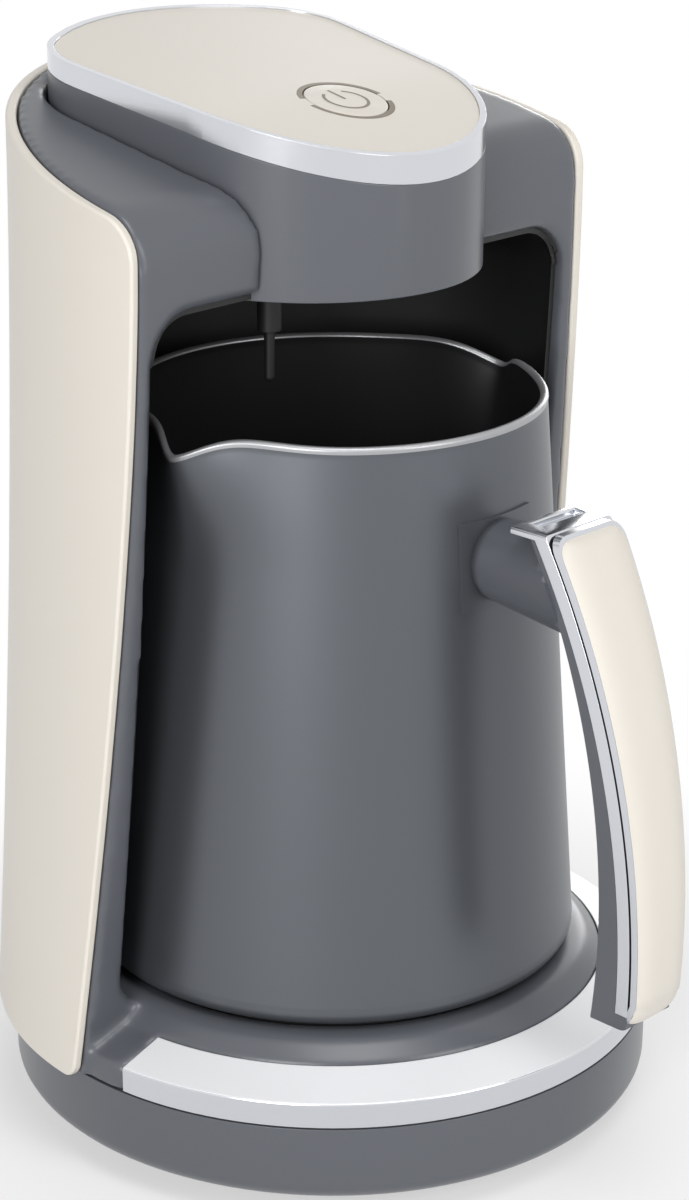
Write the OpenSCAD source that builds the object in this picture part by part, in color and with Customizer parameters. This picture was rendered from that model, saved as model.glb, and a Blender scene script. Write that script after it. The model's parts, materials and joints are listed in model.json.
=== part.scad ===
// Electric turkish coffee maker: a heated base with a wrap-round body, a control
// head over the bay, and a lift-out pot with two pouring lips and a bow handle.
// Millimetres. +Z is up, -Y is the front (the pot's handle points there).

/* [Base] */
// Outer radius of the base pan
base_r = 76; // [72:0.5:78]
// Height of the parting line between base pan and body
part_z = 24; // [22:0.5:26]
// Underside of the base pan above the worktop
pan_lift = 3.5; // [3:0.5:4.5]
// Wall thickness of the base pan
pan_wall = 2.4; // [2:0.2:3]
// Height of the straight part of the pan's side, above its rounded edge
pan_edge_h = 6.5; // [4:0.5:9]
// Radius of the circle that the four feet stand on
foot_pcd_r = 56; // [50:1:58]
// Radius of a rubber foot
foot_r = 8; // [6:0.5:9]

/* [Chrome trim of the base] */
// Height of the trim's upright side
trim_h = 6; // [5:0.5:7]
// Inner radius of the trim's sloping top
trim_in_r = 65; // [64:0.5:67]
// Rise of the sloping top from its outer to its inner edge
trim_rise = 3.7; // [3:0.1:4.5]
// Thickness of the trim
trim_t = 1.4; // [1:0.1:1.8]
// Distance of the trim's two ends in front of the pot's axis
trim_end_y = 8.5; // [7:0.5:12]

/* [Body] */
// Outer radius of the wrap panel at the top
shell_r = 72.3; // [71:0.1:73]
// How much further out the wrap panel stands at its lower edge
shell_flare = 7.8; // [6:0.1:8.5]
// Thickness of the wrap panel
shell_t = 2.4; // [2:0.1:2.8]
// Height of the shoulder line above the pot's axis
shoulder_z = 225; // [221:0.5:229]
// Rise of the shoulder line per millimetre towards the back
shoulder_slope = 0.23; // [0.15:0.01:0.28]
// How far the body's front face stands in front of the pot's axis at the top
face_y = 11.9; // [10:0.1:14]
// How far that face runs back on its way down to the deck
face_lean = 15; // [12:0.5:17]
// Radius of the corner between shoulder and front face
face_corner_r = 13.5; // [10:0.5:18]
// How far the wrap panel's front edge stands back from the body's face
panel_back = 0.2; // [0:0.1:2]
// How far the wrap panel's upper edge lies below the shoulder line
panel_drop = 1.3; // [0.8:0.1:2]
// Radius of the wrap panel's upper front corner
panel_corner_r = 10; // [7:0.5:14]
// Radius of the wrap panel's lower front corner
shell_foot_r = 4; // [2:0.5:6]

/* [Pot bay] */
// Radius of the bay
bay_r = 65; // [64:0.5:66]
// Height of the bay's ceiling
bay_top_z = 199.5; // [197:0.5:201]
// Radius of the bay's upper corner
bay_corner_r = 10; // [6:1:12]
// Thickness of the bay's dark liner
liner_t = 1.3; // [1:0.1:1.6]
// Height of the liner's lower edge above the deck, where the bay's foot is rounded
bay_foot_r = 4.5; // [3:0.5:6]
// Height of the deck round the hot plate
deck_z = 38.2; // [37.6:0.1:38.4]

/* [Head and lid] */
// Radius of the head's round nose
nose_r = 39.4; // [38:0.1:41]
// Distance of the nose's axis behind the pot's axis
nose_y = 9; // [8:0.5:11]
// How far each flank of the head leans outwards, in degrees
flank_deg = 5.4; // [4:0.2:7]
// Lower edge of the head
head_z = 199; // [197:0.5:200]
// Wall thickness of the head
head_wall = 2.4; // [2:0.2:3]
// Radius of the lid's rear corners
lid_corner_r = 18.4; // [16:0.2:20]
// Distance of the rear corners' centres behind the pot's axis
lid_corner_y = 40.5; // [38:0.5:43]
// Distance of the lid's rear tip behind the pot's axis
lid_back_y = 66.2; // [64:0.1:67]
// Radius of the lid's arched front part, seen from the side
lid_arch_r = 235; // [215:1:260]
// Distance behind the pot's axis where the arch runs out into the lid's flat part
lid_flat_y = 10; // [6:0.5:16]
// Height of the lid at that place
lid_flat_z = 239.6; // [237:0.1:242]
// Rise of the lid's flat part towards the back, in degrees
lid_rise_deg = 9.1; // [8:0.1:10]
// Height of the chrome band round the lid
band_h = 5.3; // [4.8:0.1:6]
// How much the band narrows towards the back, in degrees
band_taper_deg = 0.9; // [0:0.1:1.4]
// Thickness of the chrome band
band_t = 1.5; // [1.2:0.1:2]
// Thickness of the lid plate
plate_t = 2.4; // [2:0.1:3]

/* [Power key] */
// Distance of the key's centre in front of the pot's axis
key_y = 2.7; // [1:0.1:4]
// Radius of the key's face
key_r = 9.35; // [8.8:0.05:9.6]
// Travel of the key
key_travel = 0.7; // [0.5:0.1:0.9]
// Width of the light ring that borders the key
glow_w = 1.2; // [1:0.1:1.6]
// Half of the angle that each gap of the light ring takes
glow_gap_deg = 11; // [6:1:16]
// Turn of the two gaps from the sideways direction
glow_turn = -12; // [-20:1:0]

/* [Hot plate] */
// Radius of the hot plate
hot_r = 50; // [48:0.5:51]
// Height of the hot plate's face, where the pot stands
seat_z = 39; // [38.6:0.1:39.4]
// Thickness of the hot plate
hot_t = 3; // [2.5:0.1:3.5]
// Radius of the heating coil's centre line
element_r = 33; // [30:0.5:36]
// Radius of the heating tube
element_tube_r = 3.3; // [3:0.1:3.6]

/* [Probe] */
// Sideways place of the foam probe
probe_x = -16; // [-18:0.5:-12]
// Distance of the foam probe behind the pot's axis
probe_y = 5; // [3:0.5:7]
// Radius of the probe's sleeve
probe_sleeve_r = 2.75; // [2.4:0.05:3.2]
// Lower end of the probe's sleeve
probe_sleeve_z = 186.5; // [184:0.5:190]
// Radius of the probe's rod
probe_rod_r = 1.2; // [1:0.1:1.4]
// Height of the rod's tip above the pot's rim
probe_gap = 3.2; // [3.1:0.1:5]

/* [Pot] */
// Height of the pot from its base to its rim
pot_h = 132.5; // [128:0.5:134]
// Outer radius of the pot's base
pot_base_r = 57.7; // [56:0.1:58.5]
// Outer radius of the pot's rim
pot_rim_r = 48; // [46:0.5:49.5]
// Wall thickness of the pot
pot_wall = 1.6; // [1.4:0.1:2]
// Height of the pot's heat-spreading base
pot_base_h = 5; // [4.5:0.1:6]
// Radius of the base's lower edge
pot_edge_r = 3.6; // [2.5:0.1:4]
// Distance of a pouring lip's tip from the pot's axis
lip_reach = 54.4; // [52:0.1:56]
// Drop of a pouring lip's tip below the rim
lip_drop = 4; // [2:0.1:5]
// Turn of both lips towards the front, in degrees
lip_turn = 4; // [0:0.5:6]
// Height that a pouring lip runs down the wall
lip_h = 27; // [22:1:32]

/* [Handle] */
// Distance of the grip's outer face from the pot's axis
grip_reach = 100.8; // [98:0.1:102]
// Radius of the grip's bow, seen from the side
grip_bow_r = 190; // [180:1:200]
// Height of the bow's foremost point
grip_bow_z = 62; // [58:0.5:66]
// Height of the grip's upper end
grip_top_z = 155.6; // [153:0.1:158]
// Height of the grip's lower end
grip_low_z = 46.5; // [45:0.5:50]
// Half the grip's width at its upper end
grip_top_w = 10.8; // [10:0.1:11.5]
// Half the grip's width at its lower end
grip_low_w = 7.6; // [7:0.1:8.5]
// Height of the neck's axis
neck_z = 142.8; // [141:0.1:144]
// Radius of the neck at the pot
neck_pot_r = 8.9; // [8.5:0.1:9.2]
// Radius of the neck at the grip
neck_grip_r = 11.2; // [10.5:0.1:11.5]
// Radius of the grip's lower end, seen from the side
grip_end_r = 7; // [4:0.5:8]
// Half the width of the bracket on the pot
bracket_w = 11.5; // [11:0.5:13]
// Height of the bracket on the pot
bracket_h = 20; // [19.5:0.5:22]

/* [Fits] */
// Gap between two fixed mouldings that lie side by side
seam = 0.3; // [0.2:0.05:0.4]
// Running gap round the power key
key_gap = 0.3; // [0.2:0.05:0.35]
// Diameter of the mains lead that the inlet bush is made for
lead_d = 6.8; // [6:0.1:7.2]

/* [Hidden] */
$fn = 72;

// colours of the finishes
slate = [0.36, 0.38, 0.40];
pot_grey = [0.40, 0.41, 0.43];
ivory = [0.89, 0.87, 0.82];
chrome = [0.80, 0.81, 0.83];
coal = [0.10, 0.10, 0.10];
steel = [0.62, 0.63, 0.64];
board_green = [0.10, 0.32, 0.20];

// the frame stands centred under the whole object, on the worktop
shell_low_r = shell_r + shell_flare;
frame_y = (grip_reach - shell_low_r) / 2;

// body
shell_z = part_z + seam;
shell_span = shoulder_z - shell_z;
shell_edge = 0.5;
house_gap = 0.2;
face_power = 1.5;
face_top_z = shoulder_z - 18;
body_far = 120;
loom_w = 8;
loom_t = 0.9;
duct_w = 10;
duct_t = 1.7;
trim_z = part_z + seam;
trim_out_z = trim_z + trim_h;
trim_in_z = trim_out_z + trim_rise;
deck_r = 60;
// the walls stand on a low step of the deck, in the rounded foot of the bay
wall_foot_z = deck_z + 0.5;
skirt_r = base_r - trim_t - 0.2;

// hot plate and what hangs below it
gasket_w = 2.4;
gasket_h = 2.6;
stud_pcd_r = 42;
stud_r = 2;
stud_h = 5;
element_z = seat_z - hot_t - element_tube_r;
thermo_r = 9;
thermo_h = 9;

// pan and its screws
screw_pcd_r = 59;
screw_r = 1.9;
screw_head_r = 3.6;
screw_head_h = 2.2;
pan_floor_z = pan_lift + pan_wall;
boss_r = 4.4;
gland_z = 15.8;
gland_r = 6.2;
gland_flange_r = 7.4;
board_t = 1.6;
board_z = pan_floor_z + 4;

// head
arch_y = lid_flat_y + lid_arch_r * sin(lid_rise_deg);
arch_z = lid_flat_z - lid_arch_r * cos(lid_rise_deg);
lid_top_z = lid_flat_z + (lid_back_y - lid_flat_y) * tan(lid_rise_deg);
lid_corner_x = flank_at(lid_corner_y) - lid_corner_r / cos(flank_deg);
back_gap = lid_back_y - lid_corner_y;
back_arc_r = (pow(lid_corner_x, 2) + pow(back_gap, 2) - pow(lid_corner_r, 2)) / (2 * (back_gap - lid_corner_r));
back_arc_y = lid_back_y - back_arc_r;
corner_end = atan2(lid_corner_y - back_arc_y, lid_corner_x);
cover_t = 2;
seat_w = 2;
tray_z = head_z + 3;
head_post_in = 8.2;
rear_post_y = lid_corner_y - 5;

// key: its own axis stands square on the lid's arch
key_tilt = asin((arch_y + key_y) / lid_arch_r);
glow_in_r = key_r + key_gap;
glow_out_r = glow_in_r + glow_w;
key_flange_r = 12;
key_flange_d = 6.6;
key_skirt_d = 5.2;
key_stem_r = 2.4;
key_stem_d = 13.2;
glow_d = 4.4;
guide_d = 11;
guide_t = 1.2;
frame_r = 16;
frame_flange_t = 1.4;
switch_w = 6;
switch_h = 3.6;
key_board_d = key_stem_d + key_travel + 0.15 + switch_h;
post_r = frame_r + 3;
plug_h = 3;
spring_r = 3.6;
spring_wire_r = 0.35;
spring_turns = 4;

// pot
rim_z = seat_z + pot_h;
pot_wall_z = seat_z + pot_base_h;
pot_slope = (pot_base_r - pot_rim_r) / (rim_z - pot_wall_z);
lip_deg = acos(pot_rim_r / lip_reach);
bracket_t = 0.7;
bracket_z = neck_z - 0.2;

// handle: circles about one centre give the bow and its layers
bow_y = grip_bow_r - grip_reach;
insert_t = 3;
bezel_t = 1.6;
groove_t = 0.6;
rail_t = 3.3;
rail_w = 2.4;
bezel_w = 1.3;
bezel_in = grip_bow_r - insert_t + 0.2;
rail_out = bezel_in - groove_t;
rail_in = rail_out - rail_t;
core_bow_r = 175;
core_reach = 88.7;
screw_seat = sqrt(rail_in * rail_in - pow(neck_z - grip_bow_z, 2)) - bow_y;
core_bow_z = 72;
cap_reach = 62.5;
cap_t = 1.6;
grip_corner_r = 3.6;
rail_end = 4;
grip_end_y = sqrt(grip_bow_r * grip_bow_r - pow(grip_bow_z - grip_low_z, 2)) - bow_y - grip_end_r;

// ------------------------------------------------------------------ helpers

// moves the pot's axis from the origin to its place in the frame
module on_axis() {
    translate([0, frame_y, 0]) children();
}

// points on a circle from angle a0 to a1
function arc(x, y, r, a0, a1, steps) = [for (i = [0:steps]) let (a = a0 + (a1 - a0) * i / steps)
    [x + r * cos(a), y + r * sin(a)]];
function shell_out(z) = shell_r + shell_flare * pow(max(0, (shoulder_z - z) / shell_span), 1.6);
function face_at(z) = -face_y + face_lean * pow(max(0, (face_top_z - z) / (face_top_z - part_z)), face_power);
function pot_out(z) = pot_rim_r + pot_slope * (rim_z - z);
function arch_at(y, drop) = arch_z + sqrt(pow(lid_arch_r - drop, 2) - pow(y - arch_y, 2));
function flank_at(y) = (nose_r + (y - nose_y) * sin(flank_deg)) / cos(flank_deg);

// a turned solid that follows the wrap panel's flare, set in by "inset"
module flare_solid(inset, z0, z1, steps = 12) {
    rotate_extrude()
        polygon(concat([[0, z0]],
            [for (i = [0:steps]) let (z = z0 + (z1 - z0) * i / steps) [shell_out(z) - inset, z]],
            [[0, z1]]));
}

// side view of the body as (y, z): behind the front face and under the shoulder
function side_view(back, down, z0, corner_r) = let (
        ctr_y = face_at(face_top_z) + back + corner_r,
        slope_deg = atan(shoulder_slope),
        ctr_z = shoulder_z - down + shoulder_slope * ctr_y - corner_r / cos(slope_deg))
    concat(
        [[body_far, z0], [body_far, shoulder_z - down + shoulder_slope * body_far]],
        [for (i = [0:8]) let (a = 90 + slope_deg + (90 - slope_deg) * i / 8)
            [ctr_y + corner_r * cos(a), ctr_z + corner_r * sin(a)]],
        [for (i = [1:12]) let (z = ctr_z + (z0 - ctr_z) * i / 12) [face_at(z) + back, z]]);

module side_block(back, down, z0, corner_r = face_corner_r) {
    rotate([90, 0, 90]) linear_extrude(height = 2 * body_far, center = true)
        polygon(side_view(back, down, z0, corner_r));
}

// turned profile of the bay, with its rounded upper corner
module bay_solid(inset, z0) {
    rotate_extrude() difference() {
        union() {
            translate([0, z0]) square([bay_r - inset, bay_top_z - bay_corner_r - z0]);
            translate([0, z0]) square([bay_r - bay_corner_r, bay_top_z - inset - z0]);
            translate([bay_r - bay_corner_r, bay_top_z - bay_corner_r]) circle(r = bay_corner_r - inset);
        }
        translate([-bay_r, 0]) square([bay_r, 2 * body_far]);
    }
}

// plan of the lid and head: a round nose, leaning flanks, round corners, a curved back
module lid_plan(inset) {
    polygon(concat(
        arc(0, nose_y, nose_r - inset, 180 + flank_deg, 360 - flank_deg, 36),
        arc(lid_corner_x, lid_corner_y, lid_corner_r - inset, -flank_deg, corner_end, 8),
        arc(0, back_arc_y, back_arc_r - inset, corner_end + 4, 176 - corner_end, 10),
        arc(-lid_corner_x, lid_corner_y, lid_corner_r - inset, 180 - corner_end, 180 + flank_deg, 8)));
}

// everything below the lid's arch and its flat part, lowered by "drop"
module under_arch(drop) {
    low = head_z - 10;
    flat_w = 90;
    r = lid_arch_r - drop;
    rotate([90, 0, 90]) linear_extrude(height = body_far, center = true) polygon(concat(
        [[arch_y - r * sin(25), low]],
        [for (i = [0:14]) let (a = 25 + (lid_rise_deg - 25) * i / 14) [arch_y - r * sin(a), arch_z + r * cos(a)]],
        [[arch_y - r * sin(lid_rise_deg) + flat_w * cos(lid_rise_deg),
            arch_z + r * cos(lid_rise_deg) + flat_w * sin(lid_rise_deg)],
        [arch_y - r * sin(lid_rise_deg) + flat_w * cos(lid_rise_deg), low]]));
}

// everything below the band, whose lower edge runs a little steeper than the lid
module under_band(drop) {
    translate([0, lid_flat_y, lid_flat_z]) rotate([band_taper_deg, 0, 0])
        translate([0, -lid_flat_y, -lid_flat_z]) under_arch(band_h + drop);
}

// the key's own frame: z = 0 is the lid's surface, +Z its outward normal
module at_key() {
    translate([0, -key_y, arch_at(-key_y, 0)]) rotate([key_tilt, 0, 0]) children();
}

module ring(r_out, r_in, h) {
    difference() {
        cylinder(r = r_out, h = h);
        translate([0, 0, -1]) cylinder(r = r_in, h = h + 2);
    }
}

// children at "count" places on a circle, the first at "first" degrees
module round_about(count, radius, first) {
    for (i = [0:count - 1]) rotate([0, 0, first + i * 360 / count]) translate([radius, 0, 0]) children();
}

// a pan-head screw pointing up, its head's underside at z = 0
module screw(shank_r, shank_h, head_r, head_h) {
    cylinder(r = shank_r, h = shank_h);
    difference() {
        translate([0, 0, -head_h]) cylinder(r = head_r, h = head_h);
        for (a = [0, 90]) rotate([0, 0, a])
            translate([-head_r * 0.6, -0.4, -head_h - 1]) cube([head_r * 1.2, 0.8, 2]);
    }
}

// ------------------------------------------------------------------ base

module pan_profile(inset, top_z) {
    straight_z = pan_lift + pan_edge_h;
    corner_w = 12;
    polygon(concat(
        [[0, pan_lift + inset]],
        [for (i = [0:8]) let (a = 90 * i / 8 - 90)
            [base_r - corner_w + (corner_w - inset) * cos(a), straight_z + (pan_edge_h - inset) * sin(a)]],
        [[base_r - inset, top_z], [0, top_z]]));
}

module base_pan() {
    color(slate) on_axis() {
        difference() {
            rotate_extrude() pan_profile(0, part_z);
            rotate_extrude() pan_profile(pan_wall, part_z + 1);
            // recesses for the feet, screw holes and the inlet
            round_about(4, foot_pcd_r, 45) translate([0, 0, pan_lift - 1]) cylinder(r = foot_r + 0.1, h = 2);
            round_about(3, screw_pcd_r, 30) translate([0, 0, 0]) cylinder(r = screw_r + 0.2, h = part_z);
            translate([0, base_r - 12, gland_z]) rotate([-90, 0, 0]) cylinder(r = gland_r, h = 20);
            // cooling slots under the hot plate
            for (i = [-3:3]) translate([i * 7 - 1.5, -18, 0]) cube([3, 36, part_z]);
        }
        // screw pillars, open all the way for the screws
        round_about(3, screw_pcd_r, 30) translate([0, 0, pan_floor_z - 0.5]) ring(boss_r, screw_r + 0.2, 8);
        // pillars that carry the power board
        for (x = [-26, 26]) for (y = [30, 50])
            translate([x, y, pan_floor_z - 0.5]) cylinder(r = 2.5, h = board_z - pan_floor_z + 0.5);
    }
}

module rubber_feet() {
    color(coal) on_axis() round_about(4, foot_pcd_r, 45) {
        cylinder(r = foot_r - 1, h = pan_lift);
        translate([0, 0, 1.2]) cylinder(r = foot_r, h = pan_lift - 1.2 + 1);
    }
}

module base_screws() {
    color(steel) on_axis() round_about(3, screw_pcd_r, 30)
        translate([0, 0, pan_lift]) screw(screw_r, deck_z - pan_lift - 8, screw_head_r, screw_head_h);
}

module cord_gland() {
    color(coal) on_axis() translate([0, base_r - 5, gland_z]) rotate([-90, 0, 0]) difference() {
        union() {
            cylinder(r = gland_r, h = 7);
            cylinder(r = gland_flange_r, h = 1.6);
            translate([0, 0, 5.4]) cylinder(r = gland_flange_r, h = 2);
        }
        translate([0, 0, -1]) cylinder(r = lead_d / 2 + 0.2, h = 12);
    }
}

module power_board() {
    color(board_green) on_axis() {
        translate([-32, 22, board_z]) cube([64, 34, board_t]);
        // relay, terminal block, capacitor and fuse clip
        translate([-28, 25, board_z + board_t]) cube([19, 15, 9]);
        translate([-11, 44, board_z + board_t]) cube([22, 9, 8]);
        translate([2, 32, board_z + board_t]) cylinder(r = 5, h = 11);
        translate([13, 26, board_z + board_t]) cube([15, 6, 6]);
    }
}

module base_trim() {
    color(chrome) on_axis() intersection() {
        rotate_extrude() polygon([
            [base_r, trim_z], [base_r, trim_out_z], [trim_in_r, trim_in_z],
            [trim_in_r, trim_in_z - trim_t], [base_r - trim_t, trim_out_z - trim_t * 0.8],
            [base_r - trim_t, trim_z]]);
        translate([-body_far, -body_far - trim_end_y, 0]) cube([2 * body_far, body_far, body_far]);
    }
}

// ------------------------------------------------------------------ body

// round deck with the hot plate's well, the seat of the trim and the screw pillars
module base_deck() {
    color(slate) on_axis() intersection() {
        housing_form();
        translate([-body_far, -body_far, 0]) cube([2 * body_far, 2 * body_far, wall_foot_z]);
    }
}

// arms, shoulders and column, which stand on the deck
module main_housing() {
    color(slate) on_axis() intersection() {
        housing_form();
        translate([-body_far, -body_far, wall_foot_z]) cube([2 * body_far, 2 * body_far, 2 * body_far]);
    }
}

// the shared form of the deck and of the walls that stand on it
module housing_form() {
    union() {
        difference() {
            union() {
                // arms, shoulders and column behind the front face
                intersection() {
                    flare_solid(shell_t + house_gap, part_z + seam, shoulder_z + 20);
                    side_block(0, shell_edge, part_z + seam);
                }
                // deck and its skirt
                rotate_extrude() polygon([
                    [0, part_z + seam], [skirt_r, part_z + seam], [skirt_r, trim_out_z - trim_t],
                    [trim_in_r - 0.2, trim_in_z - trim_t - 0.2], [trim_in_r - 0.2, trim_in_z],
                    [deck_r, deck_z], [0, deck_z]]);
                // the rim beside the trim's ends
                intersection() {
                    rotate_extrude() polygon([
                        [0, part_z + seam], [base_r, part_z + seam], [base_r, trim_out_z],
                        [trim_in_r, trim_in_z], [0, trim_in_z]]);
                    translate([-body_far, seam - trim_end_y, 0]) cube([2 * body_far, body_far, body_far]);
                }
            }
            bay_solid(-liner_t - 0.05, deck_z + bay_foot_r);
            bay_solid(0, deck_z);
            // pocket for the head
            translate([0, 0, head_z - 1]) linear_extrude(height = body_far) lid_plan(-seam - 0.2);
            // well for the hot plate and the space below the deck
            translate([0, 0, part_z]) cylinder(r = hot_r + gasket_w, h = body_far);
            translate([0, 0, part_z]) cylinder(r = base_r - 8, h = deck_z - 4 - part_z);
            // duct for the loom, from the base up to the head
            translate([-duct_w / 2, bay_r, part_z]) cube([duct_w, liner_t + duct_t, head_z - part_z + 9]);
            translate([-duct_w / 2, bay_r - 10, part_z]) cube([duct_w, 10.1, 8]);
        }
        // rounded foot of the bay's wall
        intersection() {
            rotate_extrude() difference() {
                translate([bay_r - bay_foot_r, deck_z - 0.5]) square([bay_foot_r + 0.5, bay_foot_r + 0.5]);
                translate([bay_r - bay_foot_r, deck_z + bay_foot_r]) circle(r = bay_foot_r);
            }
            side_block(0, shell_edge, part_z);
        }
        // ring of pillars for the base screws
        round_about(3, screw_pcd_r, 30) translate([0, 0, pan_floor_z + 8]) difference() {
            cylinder(r = boss_r, h = deck_z - 3 - pan_floor_z - 8);
            translate([0, 0, -1]) cylinder(r = screw_r + 0.05, h = 20);
        }
    }
}

// dark lining of the bay's wall and upper corner
module cavity_liner() {
    color(coal) on_axis() difference() {
        intersection() {
            bay_solid(-liner_t, deck_z + bay_foot_r + 0.05);
            side_block(0.4, 0, deck_z);
        }
        bay_solid(0, deck_z - 1);
        translate([0, 0, head_z - seam]) linear_extrude(height = body_far) lid_plan(-seam - 0.2);
    }
}

// the pale panel that wraps round the back and both sides
module shell_panel() {
    color(ivory) on_axis() intersection() {
        difference() {
            flare_solid(0, shell_z, shoulder_z + 20);
            flare_solid(shell_t, shell_z - 1, shoulder_z + 21);
        }
        side_block(panel_back, panel_drop, shell_z, panel_corner_r);
        shell_foot();
    }
}

// keeps everything but the panel's sharp lower front corners
module shell_foot() {
    corner_y = face_at(shell_z + shell_foot_r) + panel_back + shell_foot_r;
    translate([-body_far, corner_y, 0]) cube([2 * body_far, body_far, 2 * body_far]);
    translate([-body_far, -body_far, shell_z + shell_foot_r]) cube([2 * body_far, 2 * body_far, 2 * body_far]);
    translate([0, corner_y, shell_z + shell_foot_r]) rotate([0, 90, 0])
        cylinder(r = shell_foot_r, h = 2 * body_far, center = true);
}

// wires from the power board up the column to the control board
module wire_loom() {
    loom_y = bay_r + liner_t + 0.4;
    low_z = board_z + board_t + 4;
    top_z = bay_top_z + 5;
    end_y = 15;
    color(coal) on_axis() {
        // flat cable: out of the terminal block, up the duct, in over the cover
        translate([-loom_w / 2, 53, low_z]) cube([loom_w, loom_y + loom_t - 53, loom_t]);
        translate([-loom_w / 2, loom_y, low_z]) cube([loom_w, loom_t, top_z - low_z]);
        translate([-loom_w / 2, end_y, top_z]) cube([loom_w, loom_y + loom_t - end_y, loom_t]);
        under_board(plug_h) translate([-loom_w / 2, end_y, top_z]) cube([loom_w, loom_t, 40]);
        // lead of the probe
        under_board(0) translate([probe_x, probe_y, head_z + 10]) cylinder(r = 0.8, h = 40);
    }
}

// the part of its child that lies "drop" or more below the control board
module under_board(drop) {
    intersection() {
        children();
        at_key() translate([-40, -40, -key_board_d - board_t - drop - 60]) cube([80, 80, 60]);
    }
}

// ------------------------------------------------------------------ hot plate

module hot_plate() {
    color(steel) on_axis() {
        translate([0, 0, seat_z - hot_t]) cylinder(r = hot_r, h = hot_t);
        round_about(3, stud_pcd_r, 90) translate([0, 0, seat_z - hot_t - stud_h]) cylinder(r = stud_r, h = stud_h + 0.5);
    }
}

module plate_gasket() {
    color(coal) on_axis() difference() {
        translate([0, 0, deck_z - gasket_h]) cylinder(r = hot_r + gasket_w, h = gasket_h);
        translate([0, 0, deck_z - gasket_h - 1]) cylinder(r = hot_r, h = gasket_h + 2);
    }
}

// tubular coil pressed against the plate's underside, with its two cold ends
module heating_element() {
    color(steel) on_axis() {
        translate([0, 0, element_z]) rotate([0, 0, 110]) rotate_extrude(angle = 320)
            translate([element_r, 0]) circle(r = element_tube_r);
        for (a = [110, 70]) rotate([0, 0, a]) translate([element_r, 0, element_z - 12]) cylinder(r = element_tube_r, h = 12);
    }
}

// sensor that presses on the middle of the plate
module thermostat() {
    color(coal) on_axis() translate([0, 0, seat_z - hot_t - thermo_h]) {
        cylinder(r = thermo_r, h = thermo_h);
        cylinder(r = thermo_r + 3, h = 1.2);
        for (x = [-4, 4]) translate([x - 0.4, -3, -6]) cube([0.8, 6, 7]);
    }
}

module thermal_fuse() {
    color(steel) on_axis() translate([14, -14, seat_z - hot_t - 2.2]) rotate([0, 90, 45]) {
        cylinder(r = 2.2, h = 12, center = true);
        cylinder(r = 0.6, h = 26, center = true);
    }
}

// nuts that hold the plate's bridge on its three studs
module plate_nuts() {
    bridge_z = seat_z - hot_t - stud_h;
    color(steel) on_axis() round_about(3, stud_pcd_r, 90) translate([0, 0, bridge_z]) difference() {
        union() {
            cylinder(r = 3.6, h = 2.6, $fn = 6);
            translate([0, 0, 2.6]) cylinder(r = 5, h = 0.8);
        }
        translate([0, 0, -1]) cylinder(r = stud_r, h = 6);
    }
}

// ------------------------------------------------------------------ head

// round-nosed shell of the head, open below and above; the lid's band stands on its edge
module head_housing() {
    color(slate) on_axis() {
        difference() {
            intersection() {
                translate([0, 0, head_z]) linear_extrude(height = body_far) lid_plan(0);
                under_band(0);
            }
            // inside, and the seat of the cover
            translate([0, 0, head_z - 1]) linear_extrude(height = body_far) lid_plan(head_wall + seat_w);
            translate([0, 0, tray_z + 2]) linear_extrude(height = body_far) lid_plan(head_wall);
            // way in for the loom
            translate([-duct_w / 2, lid_corner_y, bay_top_z + 3]) cube([duct_w, body_far, 6]);
        }
        // pillars for the cover's screws, tied to the wall
        head_posts() difference() {
            union() {
                cylinder(r = 3.4, h = 12);
                translate([0, -1.2, 0]) cube([head_post_in - head_wall + 1, 2.4, 12]);
            }
            translate([0, 0, -1]) cylinder(r = 1.4, h = 11);
        }
    }
}

// children at the four pillars of the head, 0 being the cover's upper face
module head_posts() {
    for (a = [-35, 215]) translate([0, nose_y, head_z + 0.2 + cover_t]) rotate([0, 0, a])
        translate([nose_r - head_post_in, 0, 0]) children();
    for (s = [-1, 1]) translate([s * (flank_at(rear_post_y) - head_post_in), rear_post_y, head_z + 0.2 + cover_t])
        rotate([0, 0, s > 0 ? 0 : 180]) children();
}

// dark cover under the head, with the socket of the probe
module head_cover() {
    color(coal) on_axis() difference() {
        union() {
            translate([0, 0, head_z + 0.2]) linear_extrude(height = cover_t)
                lid_plan(head_wall + seat_w + seam);
            translate([probe_x, probe_y, head_z - 2]) cylinder(r = probe_sleeve_r + 1.6, h = 2.3);
            translate([probe_x, probe_y, head_z + cover_t]) cylinder(r = probe_sleeve_r + 1.6, h = 5);
        }
        translate([probe_x, probe_y, head_z - 5]) cylinder(r = probe_sleeve_r, h = 20);
        head_posts() translate([0, 0, -5]) cylinder(r = 1.7, h = 8);
    }
}

module head_screws() {
    color(steel) on_axis() head_posts() translate([0, 0, -cover_t]) screw(1.4, 10, 2.8, 1.4);
}

// chrome band that follows the lid's arch
module lid_band() {
    color(chrome) on_axis() difference() {
        intersection() {
            translate([0, 0, head_z]) linear_extrude(height = body_far) lid_plan(0);
            under_arch(0);
        }
        translate([0, 0, head_z - 1]) linear_extrude(height = body_far + 2) lid_plan(band_t);
        under_band(-seam * 0.2);
    }
}

// pale plate inside the band, pierced for the key and the light ring
module lid_plate() {
    color(ivory) on_axis() difference() {
        intersection() {
            translate([0, 0, head_z]) linear_extrude(height = body_far) lid_plan(band_t + 0.05);
            difference() {
                under_arch(0.3);
                under_arch(0.3 + plate_t);
            }
        }
        at_key() translate([0, 0, -12]) cylinder(r = key_r + key_gap, h = 24);
        at_key() glow_arcs(-0.1, 0.06, -12, 24);
    }
    // posts that the key's frame is screwed to
    color(ivory) on_axis() at_key() round_about(4, post_r, 45) difference() {
        translate([0, 0, frame_flange_t - key_board_d]) cylinder(r = 2.4, h = key_board_d - frame_flange_t - 1.7);
        translate([0, 0, -key_board_d]) cylinder(r = 1, h = 8);
    }
}

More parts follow.
